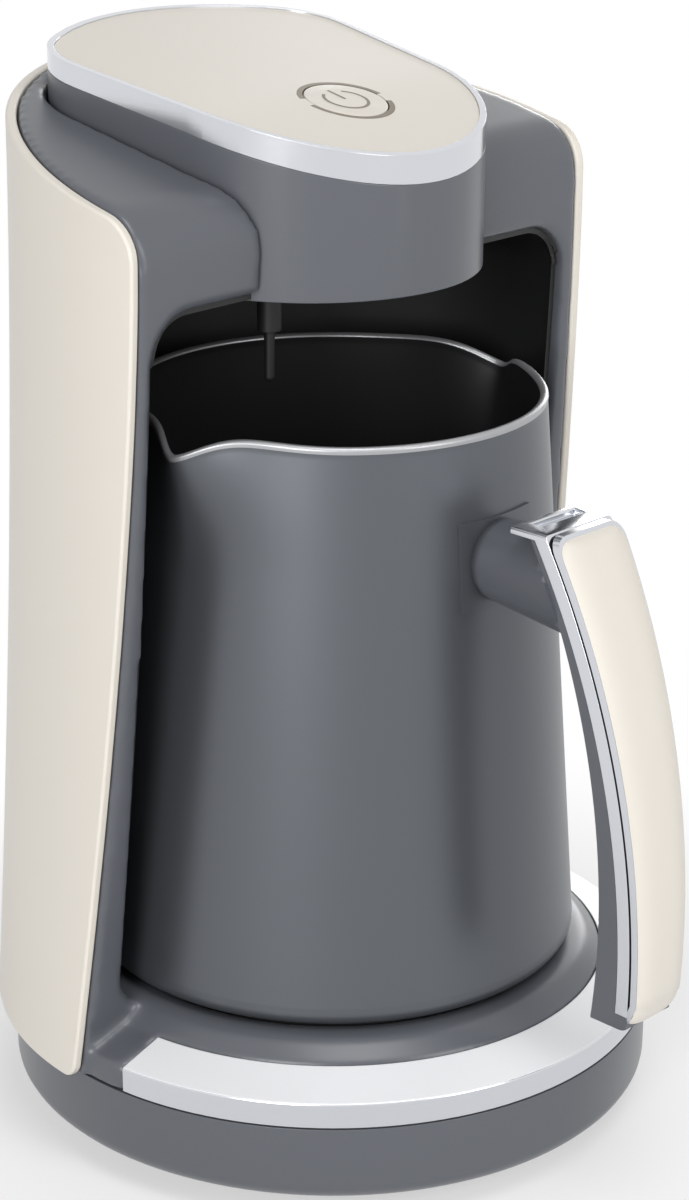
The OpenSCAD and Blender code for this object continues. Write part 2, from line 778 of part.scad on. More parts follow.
// the two arcs of the light ring, from depth z0
module glow_arcs(grow_in, grow_out, z0, h) {
    for (a = [0, 180]) rotate([0, 0, a + glow_gap_deg + glow_turn]) translate([0, 0, z0])
        rotate_extrude(angle = 180 - 2 * glow_gap_deg)
            translate([glow_in_r + grow_in, 0]) square([glow_w - grow_in + grow_out, h]);
}

// light guide under the lid, with the two arcs that show in the plate
module light_ring() {
    color([0.55, 0.47, 0.38]) on_axis() {
        intersection() {
            at_key() glow_arcs(0, 0, -glow_d - 0.3, glow_d + 2.3);
            under_arch(0.3);
        }
        at_key() translate([0, 0, -glow_d - 1]) ring(glow_out_r + 0.2, glow_in_r + 0.1, 1);
    }
}

// holder under the lid that guides the key's stem and carries the board
module key_frame() {
    color(coal) on_axis() at_key() {
        difference() {
            union() {
                translate([0, 0, -glow_d - 1]) ring(frame_r, glow_out_r + 0.25, 1);
                translate([0, 0, -key_board_d]) ring(frame_r, frame_r - 1.6, key_board_d - glow_d - 0.2);
                translate([0, 0, -guide_d - guide_t]) cylinder(r = frame_r - 0.5, h = guide_t);
                translate([0, 0, -key_board_d]) ring(frame_r + 5.2, frame_r - 1, frame_flange_t);
            }
            translate([0, 0, -30]) cylinder(r = key_stem_r + 0.3, h = 60);
            round_about(4, post_r, 45) translate([0, 0, -30]) cylinder(r = 1.2, h = 60);
        }
    }
}

module control_board() {
    color(board_green) on_axis() at_key() translate([0, 0, -key_board_d - board_t]) {
        difference() {
            translate([-20, -18, 0]) cube([40, 40, board_t]);
            round_about(4, post_r, 45) translate([0, 0, -1]) cylinder(r = 1.2, h = 4);
        }
        // controller chip and connector
        translate([8, -4, -1.8]) cube([9, 9, 1.9]);
        translate([-4, 8, -plug_h]) cube([8, 8, plug_h + 0.1]);
    }
}

module key_switch() {
    color(coal) on_axis() at_key() translate([0, 0, -key_board_d]) {
        translate([-switch_w / 2, -switch_w / 2, 0]) cube([switch_w, switch_w, switch_h - 1]);
        cylinder(r = 1.7, h = switch_h);
    }
}

module buzzer() {
    color(coal) on_axis() at_key() translate([4, -12, -key_board_d - board_t - 3.5]) ring(4.5, 1, 3.5);
}

// screws through board and frame into the lid's posts
module frame_screws() {
    color(steel) on_axis() at_key() round_about(4, post_r, 45)
        translate([0, 0, -key_board_d - board_t]) screw(1, 7, 2, 1.2);
}

// ------------------------------------------------------------------ probe

module probe_sleeve() {
    color(coal) on_axis() translate([probe_x, probe_y, probe_sleeve_z]) difference() {
        union() {
            cylinder(r = probe_sleeve_r, h = head_z + 8 - probe_sleeve_z);
            translate([0, 0, head_z + cover_t + 5 - probe_sleeve_z]) cylinder(r = probe_sleeve_r + 1.4, h = 2);
        }
        translate([0, 0, -1]) cylinder(r = probe_rod_r, h = 40);
    }
}

module probe_rod() {
    rod_z = rim_z + probe_gap;
    color(steel) on_axis() translate([probe_x, probe_y, rod_z + probe_rod_r]) {
        cylinder(r = probe_rod_r, h = head_z + 10 - rod_z - probe_rod_r);
        sphere(r = probe_rod_r);
    }
}

// ------------------------------------------------------------------ key

module power_key() {
    color(ivory) on_axis() {
        intersection() {
            at_key() translate([0, 0, -key_skirt_d]) cylinder(r = key_r, h = key_skirt_d + 4);
            under_arch(0.3);
        }
        at_key() {
            translate([0, 0, -key_flange_d]) cylinder(r = key_r, h = key_flange_d - key_skirt_d + 0.5);
            translate([0, 0, -key_flange_d]) ring(key_flange_r, key_r - 2, 0.8);
            translate([0, 0, -key_stem_d]) cylinder(r = key_stem_r, h = key_stem_d - key_flange_d + 1);
        }
    }
}

// ring k of 6 on the spring's helix, and the tube swept along it
function helix(r, wire, pitch, turns, steps, sides) = [
    for (i = [0:steps]) let (a = 360 * turns * i / steps, z = pitch * turns * i / steps)
        for (k = [0:sides - 1]) let (b = 360 * k / sides)
            [(r + wire * cos(b)) * cos(a), (r + wire * cos(b)) * sin(a), z + wire * sin(b)]];

module key_spring() {
    sides = 6;
    steps = spring_turns * 12;
    low = -key_stem_d + 2.2 + spring_wire_r;
    high = -key_flange_d - spring_wire_r;
    color(steel) on_axis() at_key() translate([0, 0, low]) polyhedron(
        points = helix(spring_r, spring_wire_r, (high - low) / spring_turns, spring_turns, steps, sides),
        faces = concat(
            [[for (k = [0:sides - 1]) k]],
            [for (i = [0:steps - 1]) for (k = [0:sides - 1]) let (n = (k + 1) % sides)
                [i * sides + k, (i + 1) * sides + k, i * sides + n]],
            [for (i = [0:steps - 1]) for (k = [0:sides - 1]) let (n = (k + 1) % sides)
                [(i + 1) * sides + k, (i + 1) * sides + n, i * sides + n]],
            [[for (k = [sides - 1:-1:0]) steps * sides + k]]));
}

// ------------------------------------------------------------------ pot

// pouring lip: a beak between its tip, the rim and the wall below
module lip(inset, over) {
    tip_r = 1.3;
    hull() {
        translate([lip_reach - inset - tip_r, 0, rim_z - lip_drop - tip_r + over]) sphere(r = tip_r, $fn = 20);
        for (s = [-1, 1]) rotate([0, 0, s * lip_deg])
            translate([pot_rim_r - inset - tip_r, 0, rim_z - tip_r + over]) sphere(r = tip_r, $fn = 20);
        translate([pot_out(rim_z - lip_h) - inset - 2 * tip_r, 0, rim_z - lip_h]) sphere(r = tip_r, $fn = 20);
    }
}

// the two lips, one on each side, both turned a little to the front
module both_lips(inset, over) {
    for (a = [-lip_turn, 180 + lip_turn]) rotate([0, 0, a]) lip(inset, over);
}

module pot_body() {
    floor_t = 1.6;
    rim_bead = 1.1;
    color(pot_grey) on_axis() difference() {
        union() {
            rotate_extrude() polygon([
                [0, pot_wall_z], [pot_out(pot_wall_z) - 0.3, pot_wall_z],
                [pot_out(pot_wall_z + 0.8), pot_wall_z + 0.8], [pot_rim_r, rim_z - rim_bead], [0, rim_z - rim_bead]]);
            translate([0, 0, rim_z - rim_bead]) rotate_extrude() {
                square([pot_rim_r - rim_bead * 0.6, rim_bead]);
                translate([pot_rim_r - rim_bead * 0.7, 0]) circle(r = rim_bead);
            }
            both_lips(0, 0);
        }
        rotate_extrude() polygon([
            [0, pot_wall_z + floor_t], [pot_out(pot_wall_z) - pot_wall - 4, pot_wall_z + floor_t],
            [pot_out(pot_wall_z) - pot_wall - 0.4, pot_wall_z + floor_t + 3.6],
            [pot_rim_r - pot_wall, rim_z - 1], [pot_rim_r - pot_wall, rim_z + 5], [0, rim_z + 5]]);
        both_lips(pot_wall, 0.9);
        both_lips(pot_wall, 4);
    }
}

// thick base that spreads the heat, with a rounded lower edge
module pot_base() {
    color(pot_grey) on_axis() translate([0, 0, seat_z]) rotate_extrude() {
        square([pot_base_r - pot_edge_r, pot_base_h]);
        translate([0, pot_edge_r]) square([pot_base_r, pot_base_h - pot_edge_r]);
        intersection() {
            translate([pot_base_r - pot_edge_r, pot_edge_r]) circle(r = pot_edge_r);
            square([pot_base_r, pot_edge_r]);
        }
    }
}

// curved plate on the pot's wall that the handle is screwed to
module handle_bracket() {
    color(pot_grey) on_axis() difference() {
        intersection() {
            translate([0, 0, pot_wall_z]) cylinder(r1 = pot_out(pot_wall_z) + bracket_t, r2 = pot_rim_r + bracket_t, h = rim_z - pot_wall_z);
            translate([-bracket_w, -body_far, bracket_z - bracket_h / 2]) cube([2 * bracket_w, body_far, bracket_h]);
        }
        translate([0, 0, pot_wall_z]) cylinder(r1 = pot_out(pot_wall_z) + 0.02, r2 = pot_rim_r + 0.02, h = rim_z - pot_wall_z);
        translate([0, 0, neck_z]) rotate([90, 0, 0]) cylinder(r = 1.9, h = body_far);
    }
}

// ------------------------------------------------------------------ handle

// the grip's side view between two radii of the bow
module bow(r_out, r_in) {
    difference() {
        translate([0, bow_y, grip_bow_z]) rotate([0, 90, 0]) cylinder(r = r_out, h = 60, center = true, $fn = 360);
        translate([0, bow_y, grip_bow_z]) rotate([0, 90, 0]) cylinder(r = r_in, h = 61, center = true, $fn = 360);
    }
}

// block that trims the grip to its tapering width, with round corners and a round lower end
module grip_block(inset, corner_r = 1) {
    low = grip_low_z + inset;
    top = grip_top_z - inset;
    low_w = grip_low_w - inset;
    top_w = grip_top_w - inset;
    difference() {
        rotate([90, 0, 0]) linear_extrude(height = body_far) polygon(concat(
            arc(-low_w + corner_r, low + corner_r, corner_r, 180, 270, 5),
            arc(low_w - corner_r, low + corner_r, corner_r, 270, 360, 5),
            arc(top_w - corner_r, top - corner_r, corner_r, 0, 90, 5),
            arc(-top_w + corner_r, top - corner_r, corner_r, 90, 180, 5)));
        difference() {
            translate([-20, -body_far, 0]) cube([40, body_far - grip_end_y, grip_low_z + grip_end_r]);
            translate([0, -grip_end_y, grip_low_z + grip_end_r]) rotate([0, 90, 0])
                cylinder(r = grip_end_r - inset, h = 50, center = true);
        }
    }
}

// neck between the bracket and the grip
module neck_cone() {
    root_y = pot_out(neck_z) - 4;
    translate([0, -root_y, neck_z]) rotate([90, 0, 0])
        cylinder(r1 = neck_pot_r - 0.3, r2 = neck_grip_r + 0.5, h = 30);
}

// what lies inside the core's own bow
module core_inside() {
    translate([0, core_bow_r - core_reach, core_bow_z]) rotate([0, 90, 0])
        cylinder(r = core_bow_r, h = 60, center = true, $fn = 360);
}

module handle_neck() {
    color(slate) on_axis() difference() {
        intersection() {
            neck_cone();
            core_inside();
        }
        translate([0, 0, pot_wall_z]) cylinder(r1 = pot_out(pot_wall_z) + bracket_t + 0.02, r2 = pot_rim_r + bracket_t + 0.02, h = rim_z - pot_wall_z);
        translate([0, 0, neck_z]) rotate([90, 0, 0]) cylinder(r = 2.1, h = body_far);
        translate([-20, -body_far, grip_top_z - cap_t]) cube([40, body_far, 20]);
    }
}

// grey inner half of the grip, with a tongue that carries the bezel
module handle_core() {
    color(slate) on_axis() difference() {
        union() {
            intersection() {
                difference() {
                    bow(rail_in, 100);
                    core_inside();
                }
                grip_block(0);
            }
            intersection() {
                bow(bezel_in, rail_in - 1);
                grip_block(rail_w + 0.05);
            }
            // the lower end below the rails
            intersection() {
                bow(rail_out, rail_in - 1);
                grip_block(0);
                translate([-20, -body_far, 0]) cube([40, body_far, grip_low_z + rail_end - 0.05]);
            }
        }
        translate([0, 0, neck_z]) rotate([90, 0, 0]) cylinder(r = 2.1, h = body_far);
        translate([0, -screw_seat, neck_z]) rotate([90, 0, 0]) cylinder(r = 3.8, h = body_far);
        translate([-20, -body_far, grip_top_z - cap_t]) cube([40, body_far, 20]);
    }
}

// chrome rail round the grip, with the cap at its upper end
module handle_trim() {
    cap_z = grip_top_z - cap_t;
    color(chrome) on_axis() {
        difference() {
            intersection() {
                bow(rail_out, rail_in);
                grip_block(0);
            }
            grip_block(rail_w);
            translate([-20, -body_far, cap_z]) cube([40, body_far, 20]);
            translate([-20, -body_far, 0]) cube([40, body_far, grip_low_z + rail_end]);
        }
        difference() {
            intersection() {
                translate([-20, -body_far, cap_z]) cube([40, body_far - cap_reach, cap_t]);
                bow(rail_out, 100);
                grip_block(0);
            }
            translate([-6, -cap_reach - 5, cap_z + 0.6]) cube([14, 3, 5]);
        }
    }
}

// thin chrome frame that holds the pale insert
module handle_bezel() {
    color(chrome) on_axis() difference() {
        intersection() {
            bow(bezel_in + bezel_t, bezel_in);
            grip_block(0, grip_corner_r);
        }
        grip_block(bezel_w, grip_corner_r - bezel_w);
    }
}

module handle_insert() {
    color(ivory) on_axis() intersection() {
        bow(grip_bow_r, bezel_in);
        grip_block(bezel_w + 0.05, grip_corner_r - bezel_w);
    }
}

// long screw through the neck into the bracket
module handle_screw() {
    color(steel) on_axis() translate([0, -screw_seat, neck_z]) rotate([-90, 0, 0])
        screw(1.9, screw_seat - pot_out(neck_z) - 0.2, 3.6, 2.2);
}

base_pan();
rubber_feet();
base_screws();
cord_gland();
power_board();
base_trim();
base_deck();
main_housing();
cavity_liner();
shell_panel();
wire_loom();
hot_plate();
plate_gasket();
heating_element();
thermostat();
thermal_fuse();
plate_nuts();
head_housing();
head_cover();
head_screws();
lid_band();
lid_plate();
light_ring();
key_frame();
frame_screws();
control_board();
key_switch();
buzzer();
probe_sleeve();
probe_rod();
power_key();
key_spring();
pot_body();
pot_base();
handle_bracket();
handle_neck();
handle_core();
handle_trim();
handle_bezel();
handle_insert();
handle_screw();
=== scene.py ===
"""Looks of the electric turkish coffee maker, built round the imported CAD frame.

Sizes are in millimetres, as in the drawing, and mm() turns them into Blender's metres.
Places are measured from the pot's axis, whose AXIS_Y is read from the frame's hot plate.
"""

import bmesh
import bpy
import json
import math
import numpy as np
from mathutils import Matrix, Vector
from mathutils.geometry import delaunay_2d_cdt


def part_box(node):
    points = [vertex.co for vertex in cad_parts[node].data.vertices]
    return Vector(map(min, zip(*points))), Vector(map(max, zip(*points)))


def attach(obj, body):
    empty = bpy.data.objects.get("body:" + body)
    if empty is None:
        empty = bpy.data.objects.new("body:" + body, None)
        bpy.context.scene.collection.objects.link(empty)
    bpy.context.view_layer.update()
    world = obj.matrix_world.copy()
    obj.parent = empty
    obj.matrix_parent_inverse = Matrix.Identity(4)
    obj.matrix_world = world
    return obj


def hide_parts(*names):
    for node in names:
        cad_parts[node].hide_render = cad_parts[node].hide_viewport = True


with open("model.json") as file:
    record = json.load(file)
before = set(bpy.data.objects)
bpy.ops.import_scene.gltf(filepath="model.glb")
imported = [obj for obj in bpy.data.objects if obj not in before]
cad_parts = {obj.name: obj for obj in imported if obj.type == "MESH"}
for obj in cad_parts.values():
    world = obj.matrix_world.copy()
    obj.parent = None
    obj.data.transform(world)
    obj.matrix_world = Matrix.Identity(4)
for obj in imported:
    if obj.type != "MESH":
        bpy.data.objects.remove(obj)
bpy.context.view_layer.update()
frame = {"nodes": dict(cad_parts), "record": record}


def mm(value):
    return value / 1000.0


def box_mm(node):
    """The low and high corners of a CAD node."""
    low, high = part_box(node)
    return [c * 1000 for c in low], [c * 1000 for c in high]


PLATE_LOW, PLATE_HIGH = box_mm("hot_plate")
AXIS_Y = (PLATE_LOW[1] + PLATE_HIGH[1]) / 2
BODY = {node: body for body, nodes in frame["record"]["behaviour"]["bodies"].items() for node in nodes}

# ---------------------------------------------------------------- node helpers


def node_group(name, inputs, outputs):
    """An empty shader group; inputs are (name, type, default), outputs (name, type)."""
    group = bpy.data.node_groups.new(name, "ShaderNodeTree")
    for label, kind, default in inputs:
        socket = group.interface.new_socket(label, in_out="INPUT", socket_type=kind)
        socket.default_value = default
    for label, kind in outputs:
        group.interface.new_socket(label, in_out="OUTPUT", socket_type=kind)
    return group, group.nodes.new("NodeGroupInput"), group.nodes.new("NodeGroupOutput")


def add(tree, kind, values=None, **settings):
    """A new node with its settings and its inputs' values."""
    made = tree.nodes.new(kind)
    for key, value in settings.items():
        setattr(made, key, value)
    for key, value in (values or {}).items():
        made.inputs[key].default_value = value
    return made


def wire(tree, *pairs):
    """Links each output to its input."""
    for source, target in pairs:
        tree.links.new(source, target)


FLOAT = "NodeSocketFloat"
COLOUR = "NodeSocketColor"


def moulded_grain_group():
    """Fine moulded or sprayed grain, with slow changes of gloss and tone over it."""
    g, gin, gout = node_group(
        "moulded_grain",
        [("Colour", COLOUR, (0.5, 0.5, 0.5, 1)), ("Grain Size", FLOAT, 0.4), ("Roughness", FLOAT, 0.4),
         ("Gloss Change", FLOAT, 0.04), ("Tone Change", FLOAT, 0.03)],
        [("Colour", COLOUR), ("Roughness", FLOAT), ("Height", FLOAT)],
    )
    place = add(g, "ShaderNodeTexCoord")
    rate = add(g, "ShaderNodeMath", {0: 1000.0}, operation="DIVIDE")
    grain = add(g, "ShaderNodeTexNoise", {"Detail": 3.0, "Roughness": 0.6})
    cloud = add(g, "ShaderNodeTexNoise", {"Scale": 22.0, "Detail": 4.0, "Roughness": 0.55})
    centred = add(g, "ShaderNodeMath", {1: 0.5}, operation="SUBTRACT")
    gloss = add(g, "ShaderNodeMath", operation="MULTIPLY_ADD")
    tone = add(g, "ShaderNodeMath", {2: 1.0}, operation="MULTIPLY_ADD")
    shade = add(g, "ShaderNodeVectorMath", operation="SCALE")
    wire(
        g,
        (gin.outputs["Grain Size"], rate.inputs[1]),
        (rate.outputs[0], grain.inputs["Scale"]),
        (place.outputs["Object"], grain.inputs["Vector"]),
        (place.outputs["Object"], cloud.inputs["Vector"]),
        (cloud.outputs["Fac"], centred.inputs[0]),
        (centred.outputs[0], gloss.inputs[0]),
        (gin.outputs["Gloss Change"], gloss.inputs[1]),
        (gin.outputs["Roughness"], gloss.inputs[2]),
        (centred.outputs[0], tone.inputs[0]),
        (gin.outputs["Tone Change"], tone.inputs[1]),
        (gin.outputs["Colour"], shade.inputs[0]),
        (tone.outputs[0], shade.inputs["Scale"]),
        (shade.outputs["Vector"], gout.inputs["Colour"]),
        (gloss.outputs[0], gout.inputs["Roughness"]),
        (grain.outputs["Fac"], gout.inputs["Height"]),
    )
    return g


def brush_lines_group():
    """Fine parallel brushing; Stretch gives the lines' direction as a scale per axis."""
    g, gin, gout = node_group(
        "brush_lines",
        [("Stretch", "NodeSocketVector", (40, 40, 2000)), ("Roughness", FLOAT, 0.2),
         ("Gloss Change", FLOAT, 0.1)],
        [("Roughness", FLOAT), ("Height", FLOAT)],
    )
    place = add(g, "ShaderNodeTexCoord")
    along = add(g, "ShaderNodeVectorMath", operation="MULTIPLY")
    lines = add(g, "ShaderNodeTexNoise", {"Scale": 1.0, "Detail": 5.0, "Roughness": 0.7})
    centred = add(g, "ShaderNodeMath", {1: 0.5}, operation="SUBTRACT")
    gloss = add(g, "ShaderNodeMath", operation="MULTIPLY_ADD")
    wire(
        g,
        (place.outputs["Object"], along.inputs[0]),
        (gin.outputs["Stretch"], along.inputs[1]),
        (along.outputs["Vector"], lines.inputs["Vector"]),
        (lines.outputs["Fac"], centred.inputs[0]),
        (centred.outputs[0], gloss.inputs[0]),
        (gin.outputs["Gloss Change"], gloss.inputs[1]),
        (gin.outputs["Roughness"], gloss.inputs[2]),
        (gloss.outputs[0], gout.inputs["Roughness"]),
        (lines.outputs["Fac"], gout.inputs["Height"]),
    )
    return g


GRAIN = moulded_grain_group()
BRUSH = brush_lines_group()
BUMP_DEPTH = 0.0001


def linear(hex_colour):
    """sRGB hex to the linear colour that Blender's sockets take."""
    out = []
    for i in (0, 2, 4):
        c = int(hex_colour[i:i + 2], 16) / 255
        out.append(c / 12.92 if c <= 0.04045 else ((c + 0.055) / 1.055) ** 2.4)
    return (*out, 1.0)


def blank_material(name):
    """A new material, with its tree and its main shader."""
    made = bpy.data.materials.new(name)
    made.use_nodes = True
    tree = made.node_tree
    return made, tree, tree.nodes["Principled BSDF"]


def grained(name, colour, rough, grain=0.4, height=0.1, gloss_change=0.04, tone_change=0.03,
            metal=0.0, **sockets):
    """Moulded, sprayed or enamelled finish: grain bump, with slow gloss and tone changes."""
    made, tree, shader = blank_material(name)
    group = add(tree, "ShaderNodeGroup", node_tree=GRAIN)
    values = {"Colour": linear(colour), "Grain Size": grain, "Roughness": rough,
              "Gloss Change": gloss_change, "Tone Change": tone_change}
    for key, value in values.items():
        group.inputs[key].default_value = value
    bump = add(tree, "ShaderNodeBump", {"Strength": height, "Distance": BUMP_DEPTH})
    shader.inputs["Metallic"].default_value = metal
    for key, value in sockets.items():
        shader.inputs[key.replace("_", " ")].default_value = value
    wire(
        tree,
        (group.outputs["Colour"], shader.inputs["Base Color"]),
        (group.outputs["Roughness"], shader.inputs["Roughness"]),
        (group.outputs["Height"], bump.inputs["Height"]),
        (bump.outputs["Normal"], shader.inputs["Normal"]),
    )
    return made


def brushed(name, colour, rough, stretch, height=0.05, gloss_change=0.1):
    """Bright or satin metal with brush lines."""
    made, tree, shader = blank_material(name)
    group = add(tree, "ShaderNodeGroup", node_tree=BRUSH)
    values = {"Stretch": stretch, "Roughness": rough, "Gloss Change": gloss_change}
    for key, value in values.items():
        group.inputs[key].default_value = value
    bump = add(tree, "ShaderNodeBump", {"Strength": height, "Distance": BUMP_DEPTH})
    shader.inputs["Base Color"].default_value = linear(colour)
    shader.inputs["Metallic"].default_value = 1.0
    wire(
        tree,
        (group.outputs["Roughness"], shader.inputs["Roughness"]),
        (group.outputs["Height"], bump.inputs["Height"]),
        (bump.outputs["Normal"], shader.inputs["Normal"]),
    )
    return made


HOUSING_GREY = grained("housing_grey", "595c62", 0.3, grain=0.35, height=0.1)
POT_ENAMEL = grained("pot_enamel", "606368", 0.36, grain=0.25, height=0.08, gloss_change=0.04, metal=0.65,
                     Specular_IOR_Level=0.32)
POT_INSIDE = grained("pot_inside", "1d1e1f", 0.45, grain=0.3, height=0.1)
IVORY = grained("ivory_gloss", "dfd9cf", 0.4, grain=0.6, height=0.03, gloss_change=0.05, tone_change=0.02)
# lighter metallic finish of the pot's rolled rim: a painted highlight, the bright line that the rim catches
RIM_PAINTED_HIGHLIGHT = grained("rim_painted_highlight", "a6a7a9", 0.36, grain=0.3, height=0.05, metal=0.6)
LINER = grained("liner_black", "1a1b1b", 0.5, grain=0.4, height=0.15)
RUBBER = grained("rubber_black", "161616", 0.75, grain=0.5, height=0.3)
BOARD = grained("board_green", "1e5a38", 0.45, grain=0.8, height=0.1)
LIGHT_RING = grained("light_amber", "756a58", 0.4, grain=0.3, height=0.05)
CHROME = brushed("chrome", "d3d5da", 0.16, (60, 60, 1800), height=0.04, gloss_change=0.08)
# near-white, hardly metallic finish for the trim's upward faces: a painted highlight in place of the chrome's
# bright reflection
TRIM_TOP_PAINTED_SHEEN = grained("trim_top_painted_sheen", "f1f2f4", 0.34, grain=0.3, height=0.05, gloss_change=0.05, metal=0.05)
STEEL = brushed("zinc_steel", "b4b5b8", 0.35, (900, 900, 900), height=0.08)
PLATE_STEEL = brushed("plate_steel", "9a9b9d", 0.4, (700, 700, 700), height=0.08)

FINISH = {
    "housing_grey": HOUSING_GREY, "pot_coat": POT_ENAMEL, "ivory_gloss": IVORY, "chrome": CHROME,
    "plate_steel": PLATE_STEEL, "zinc_steel": STEEL, "liner_black": LINER,
    "rubber_black": RUBBER, "board_green": BOARD, "light_amber": LIGHT_RING,
}
SLOT = {part["node"]: part["material_slot"] for part in frame["record"]["subparts"]}

for node, obj in frame["nodes"].items():
    obj.data.materials.clear()
    obj.data.materials.append(FINISH[SLOT[node]])

# ---------------------------------------------------------------- mesh helpers

MERGE_DIST, FLAT_DEG, EDGE_DEG = 0.002, 0.6, 35.0
MELT_STEP, LEAST_MELT = 0.5, 0.04


def piece_from(name, bm, material, node, replaced=()):
    """A finished piece from a bmesh: it rides on the node's body and stands for the CAD nodes."""
    mesh = bpy.data.meshes.new(name)
    bm.to_mesh(mesh)
    bm.free()
    obj = bpy.data.objects.new(name, mesh)
    bpy.context.scene.collection.objects.link(obj)
    mesh.materials.append(material)
    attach(obj, BODY[node])
    if replaced:
        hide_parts(*replaced)
    return obj


def smooth_faces(obj):
    """Shades every face smooth."""
    for polygon in obj.data.polygons:
        polygon.use_smooth = True


def soft_copy(node, width, segments=3, flatten=True):
    """A merged copy of a CAD node with rounded edges, shown in the node's place."""
    bm = bmesh.new()
    bm.from_mesh(frame["nodes"][node].data)
    bmesh.ops.remove_doubles(bm, verts=bm.verts, dist=mm(MERGE_DIST))
    if flatten:
        bmesh.ops.dissolve_limit(bm, angle_limit=math.radians(FLAT_DEG), verts=bm.verts, edges=bm.edges)
    obj = piece_from(node + "_soft", bm, FINISH[SLOT[node]], node, [node])
    if width:
        bevel = obj.modifiers.new("edge", "BEVEL")
        bevel.width = mm(width)
        bevel.segments = segments
        bevel.limit_method = "ANGLE"
        bevel.angle_limit = math.radians(EDGE_DEG)
        bevel.miter_outer = "MITER_ARC"
        bevel.use_clamp_overlap = True
        bevel.harden_normals = False
    smooth_faces(obj)
    obj.data.set_sharp_from_angle(angle=math.radians(EDGE_DEG))
    return obj


def relax(points, edges, rounds, weight):
    """Moves each point towards the mean of its neighbours, by its own weight."""
    count = len(points)
    ends = np.concatenate([edges[:, 0], edges[:, 1]])
    others = np.concatenate([edges[:, 1], edges[:, 0]])
    degree = np.maximum(np.bincount(ends, minlength=count), 1)
    for _ in range(rounds):
        sums = [np.bincount(ends, points[others, k], minlength=count) for k in range(3)]
        mean = np.column_stack([total / degree for total in sums])
        points = points + (mean - points) * weight[:, None]
    return points


def turned_ring(bm, profile, first, last, steps):
    """Adds a closed ring, or a part of one, turned round the pot's axis from an (r, z) profile."""
    whole = last - first >= 360
    turns = [math.radians(first + (last - first) * i / steps) for i in range(steps if whole else steps + 1)]
    loops = [[bm.verts.new((mm(r * math.cos(a)), mm(AXIS_Y + r * math.sin(a)), mm(z))) for r, z in profile]
             for a in turns]
    count = len(profile)
    faces = []
    for i in range(len(loops) if whole else len(loops) - 1):
        here, after = loops[i], loops[(i + 1) % len(loops)]
        faces += [bm.faces.new((here[k], here[(k + 1) % count], after[(k + 1) % count], after[k]))
                  for k in range(count)]
    if not whole:
        faces += [bm.faces.new(loops[0]), bm.faces.new(loops[-1][::-1])]
    bmesh.ops.recalc_face_normals(bm, faces=faces)


def voxel_mesh(name, bm, voxel):
    """The mesh that a bmesh gives after a voxel remesh."""
    rough = bpy.data.meshes.new(name)
    bm.to_mesh(rough)
    bm.free()
    carrier = bpy.data.objects.new(name, rough)
    bpy.context.scene.collection.objects.link(carrier)
    remesh = carrier.modifiers.new("voxels", "REMESH")
    remesh.mode = "VOXEL"
    remesh.voxel_size = mm(voxel)
    depsgraph = bpy.context.evaluated_depsgraph_get()
    mesh = bpy.data.meshes.new_from_object(carrier.evaluated_get(depsgraph))
    bpy.data.objects.remove(carrier)
    return mesh


def melted_copy(nodes, voxel, rounds, firm, rings=(), limit=150000):
    """One remeshed copy of CAD nodes that meet, with its edges and inner corners rounded.

    firm(points) gives 0 where edges stay as they are, so that seams stay narrow, and up to 1 elsewhere.
    """
    node = nodes[0]
    bm = bmesh.new()
    for each in nodes:
        bm.from_mesh(frame["nodes"][each].data)
    bmesh.ops.remove_doubles(bm, verts=bm.verts, dist=mm(MERGE_DIST))
    for ring in rings:
        turned_ring(bm, *ring)
    mesh = voxel_mesh(node + "_rough", bm, voxel)
    points = np.empty(len(mesh.vertices) * 3)
    mesh.vertices.foreach_get("co", points)
    points = points.reshape(-1, 3)
    edges = np.empty(len(mesh.edges) * 2, dtype=np.int64)
    mesh.edges.foreach_get("vertices", edges)
    weight = MELT_STEP * np.clip(firm(points * 1000 - np.array((0, AXIS_Y, 0))), LEAST_MELT, 1.0)
    points = relax(points, edges.reshape(-1, 2), rounds, weight)
    mesh.vertices.foreach_set("co", points.ravel())
    bm = bmesh.new()
    bm.from_mesh(mesh)
    obj = piece_from(node + "_soft", bm, FINISH[SLOT[node]], node, nodes)
    smooth_faces(obj)
    faces = 2 * len(mesh.polygons)
    if faces > limit:
        thin = obj.modifiers.new("thin", "DECIMATE")
        thin.ratio = limit / faces


def push_back(obj, way, chosen):
    """Moves the vertices for which chosen(y, z) is true away from the front, by a way."""
    for vertex in obj.data.vertices:
        if chosen(vertex.co.y * 1000 - AXIS_Y, vertex.co.z * 1000):
            vertex.co.y += mm(way)


# ---------------------------------------------------------------- drawing

# the drawing's sizes that the new meshes follow, as in the part's source
SHELL_R, SHELL_FLARE, SHELL_CURVE, SHELL_T = 72.3, 7.8, 1.6, 2.4
SHOULDER_Z, SHOULDER_SLOPE, SHELL_Z = 225.0, 0.23, 24.3
FACE_Y, FACE_LEAN, FACE_CURVE, FACE_TOP_Z, PART_Z = 11.9, 15.0, 1.5, 207.0, 24.0
PANEL_BACK, PANEL_DROP, PANEL_CORNER_R, PANEL_FOOT_R = 0.2, 1.3, 10.0, 4.0
POT_FOOT_Z, POT_RIM_Z, POT_RIM_R, POT_BASE_R, POT_WALL = 44.0, 171.5, 48.0, 57.7, 1.6
LIP_TURN = 4.0
GRIP_REACH, GRIP_TOP_Z, GRIP_LOW_Z = 100.8, 155.6, 46.5
GRIP_TOP_W, GRIP_LOW_W, GRIP_END_R = 10.8, 7.6, 7.0
BOW_R, BOW_Z = 190.0, 62.0
BOW_Y = BOW_R - GRIP_REACH
LID_ARCH_R, LID_RISE_DEG, LID_FLAT_Y, LID_FLAT_Z, KEY_Y = 235.0, 9.1, 10.0, 239.6, 2.7
ARCH_Y = LID_FLAT_Y + LID_ARCH_R * math.sin(math.radians(LID_RISE_DEG))
ARCH_Z = LID_FLAT_Z - LID_ARCH_R * math.cos(math.radians(LID_RISE_DEG))
KEY_TILT = math.asin((ARCH_Y + KEY_Y) / LID_ARCH_R)
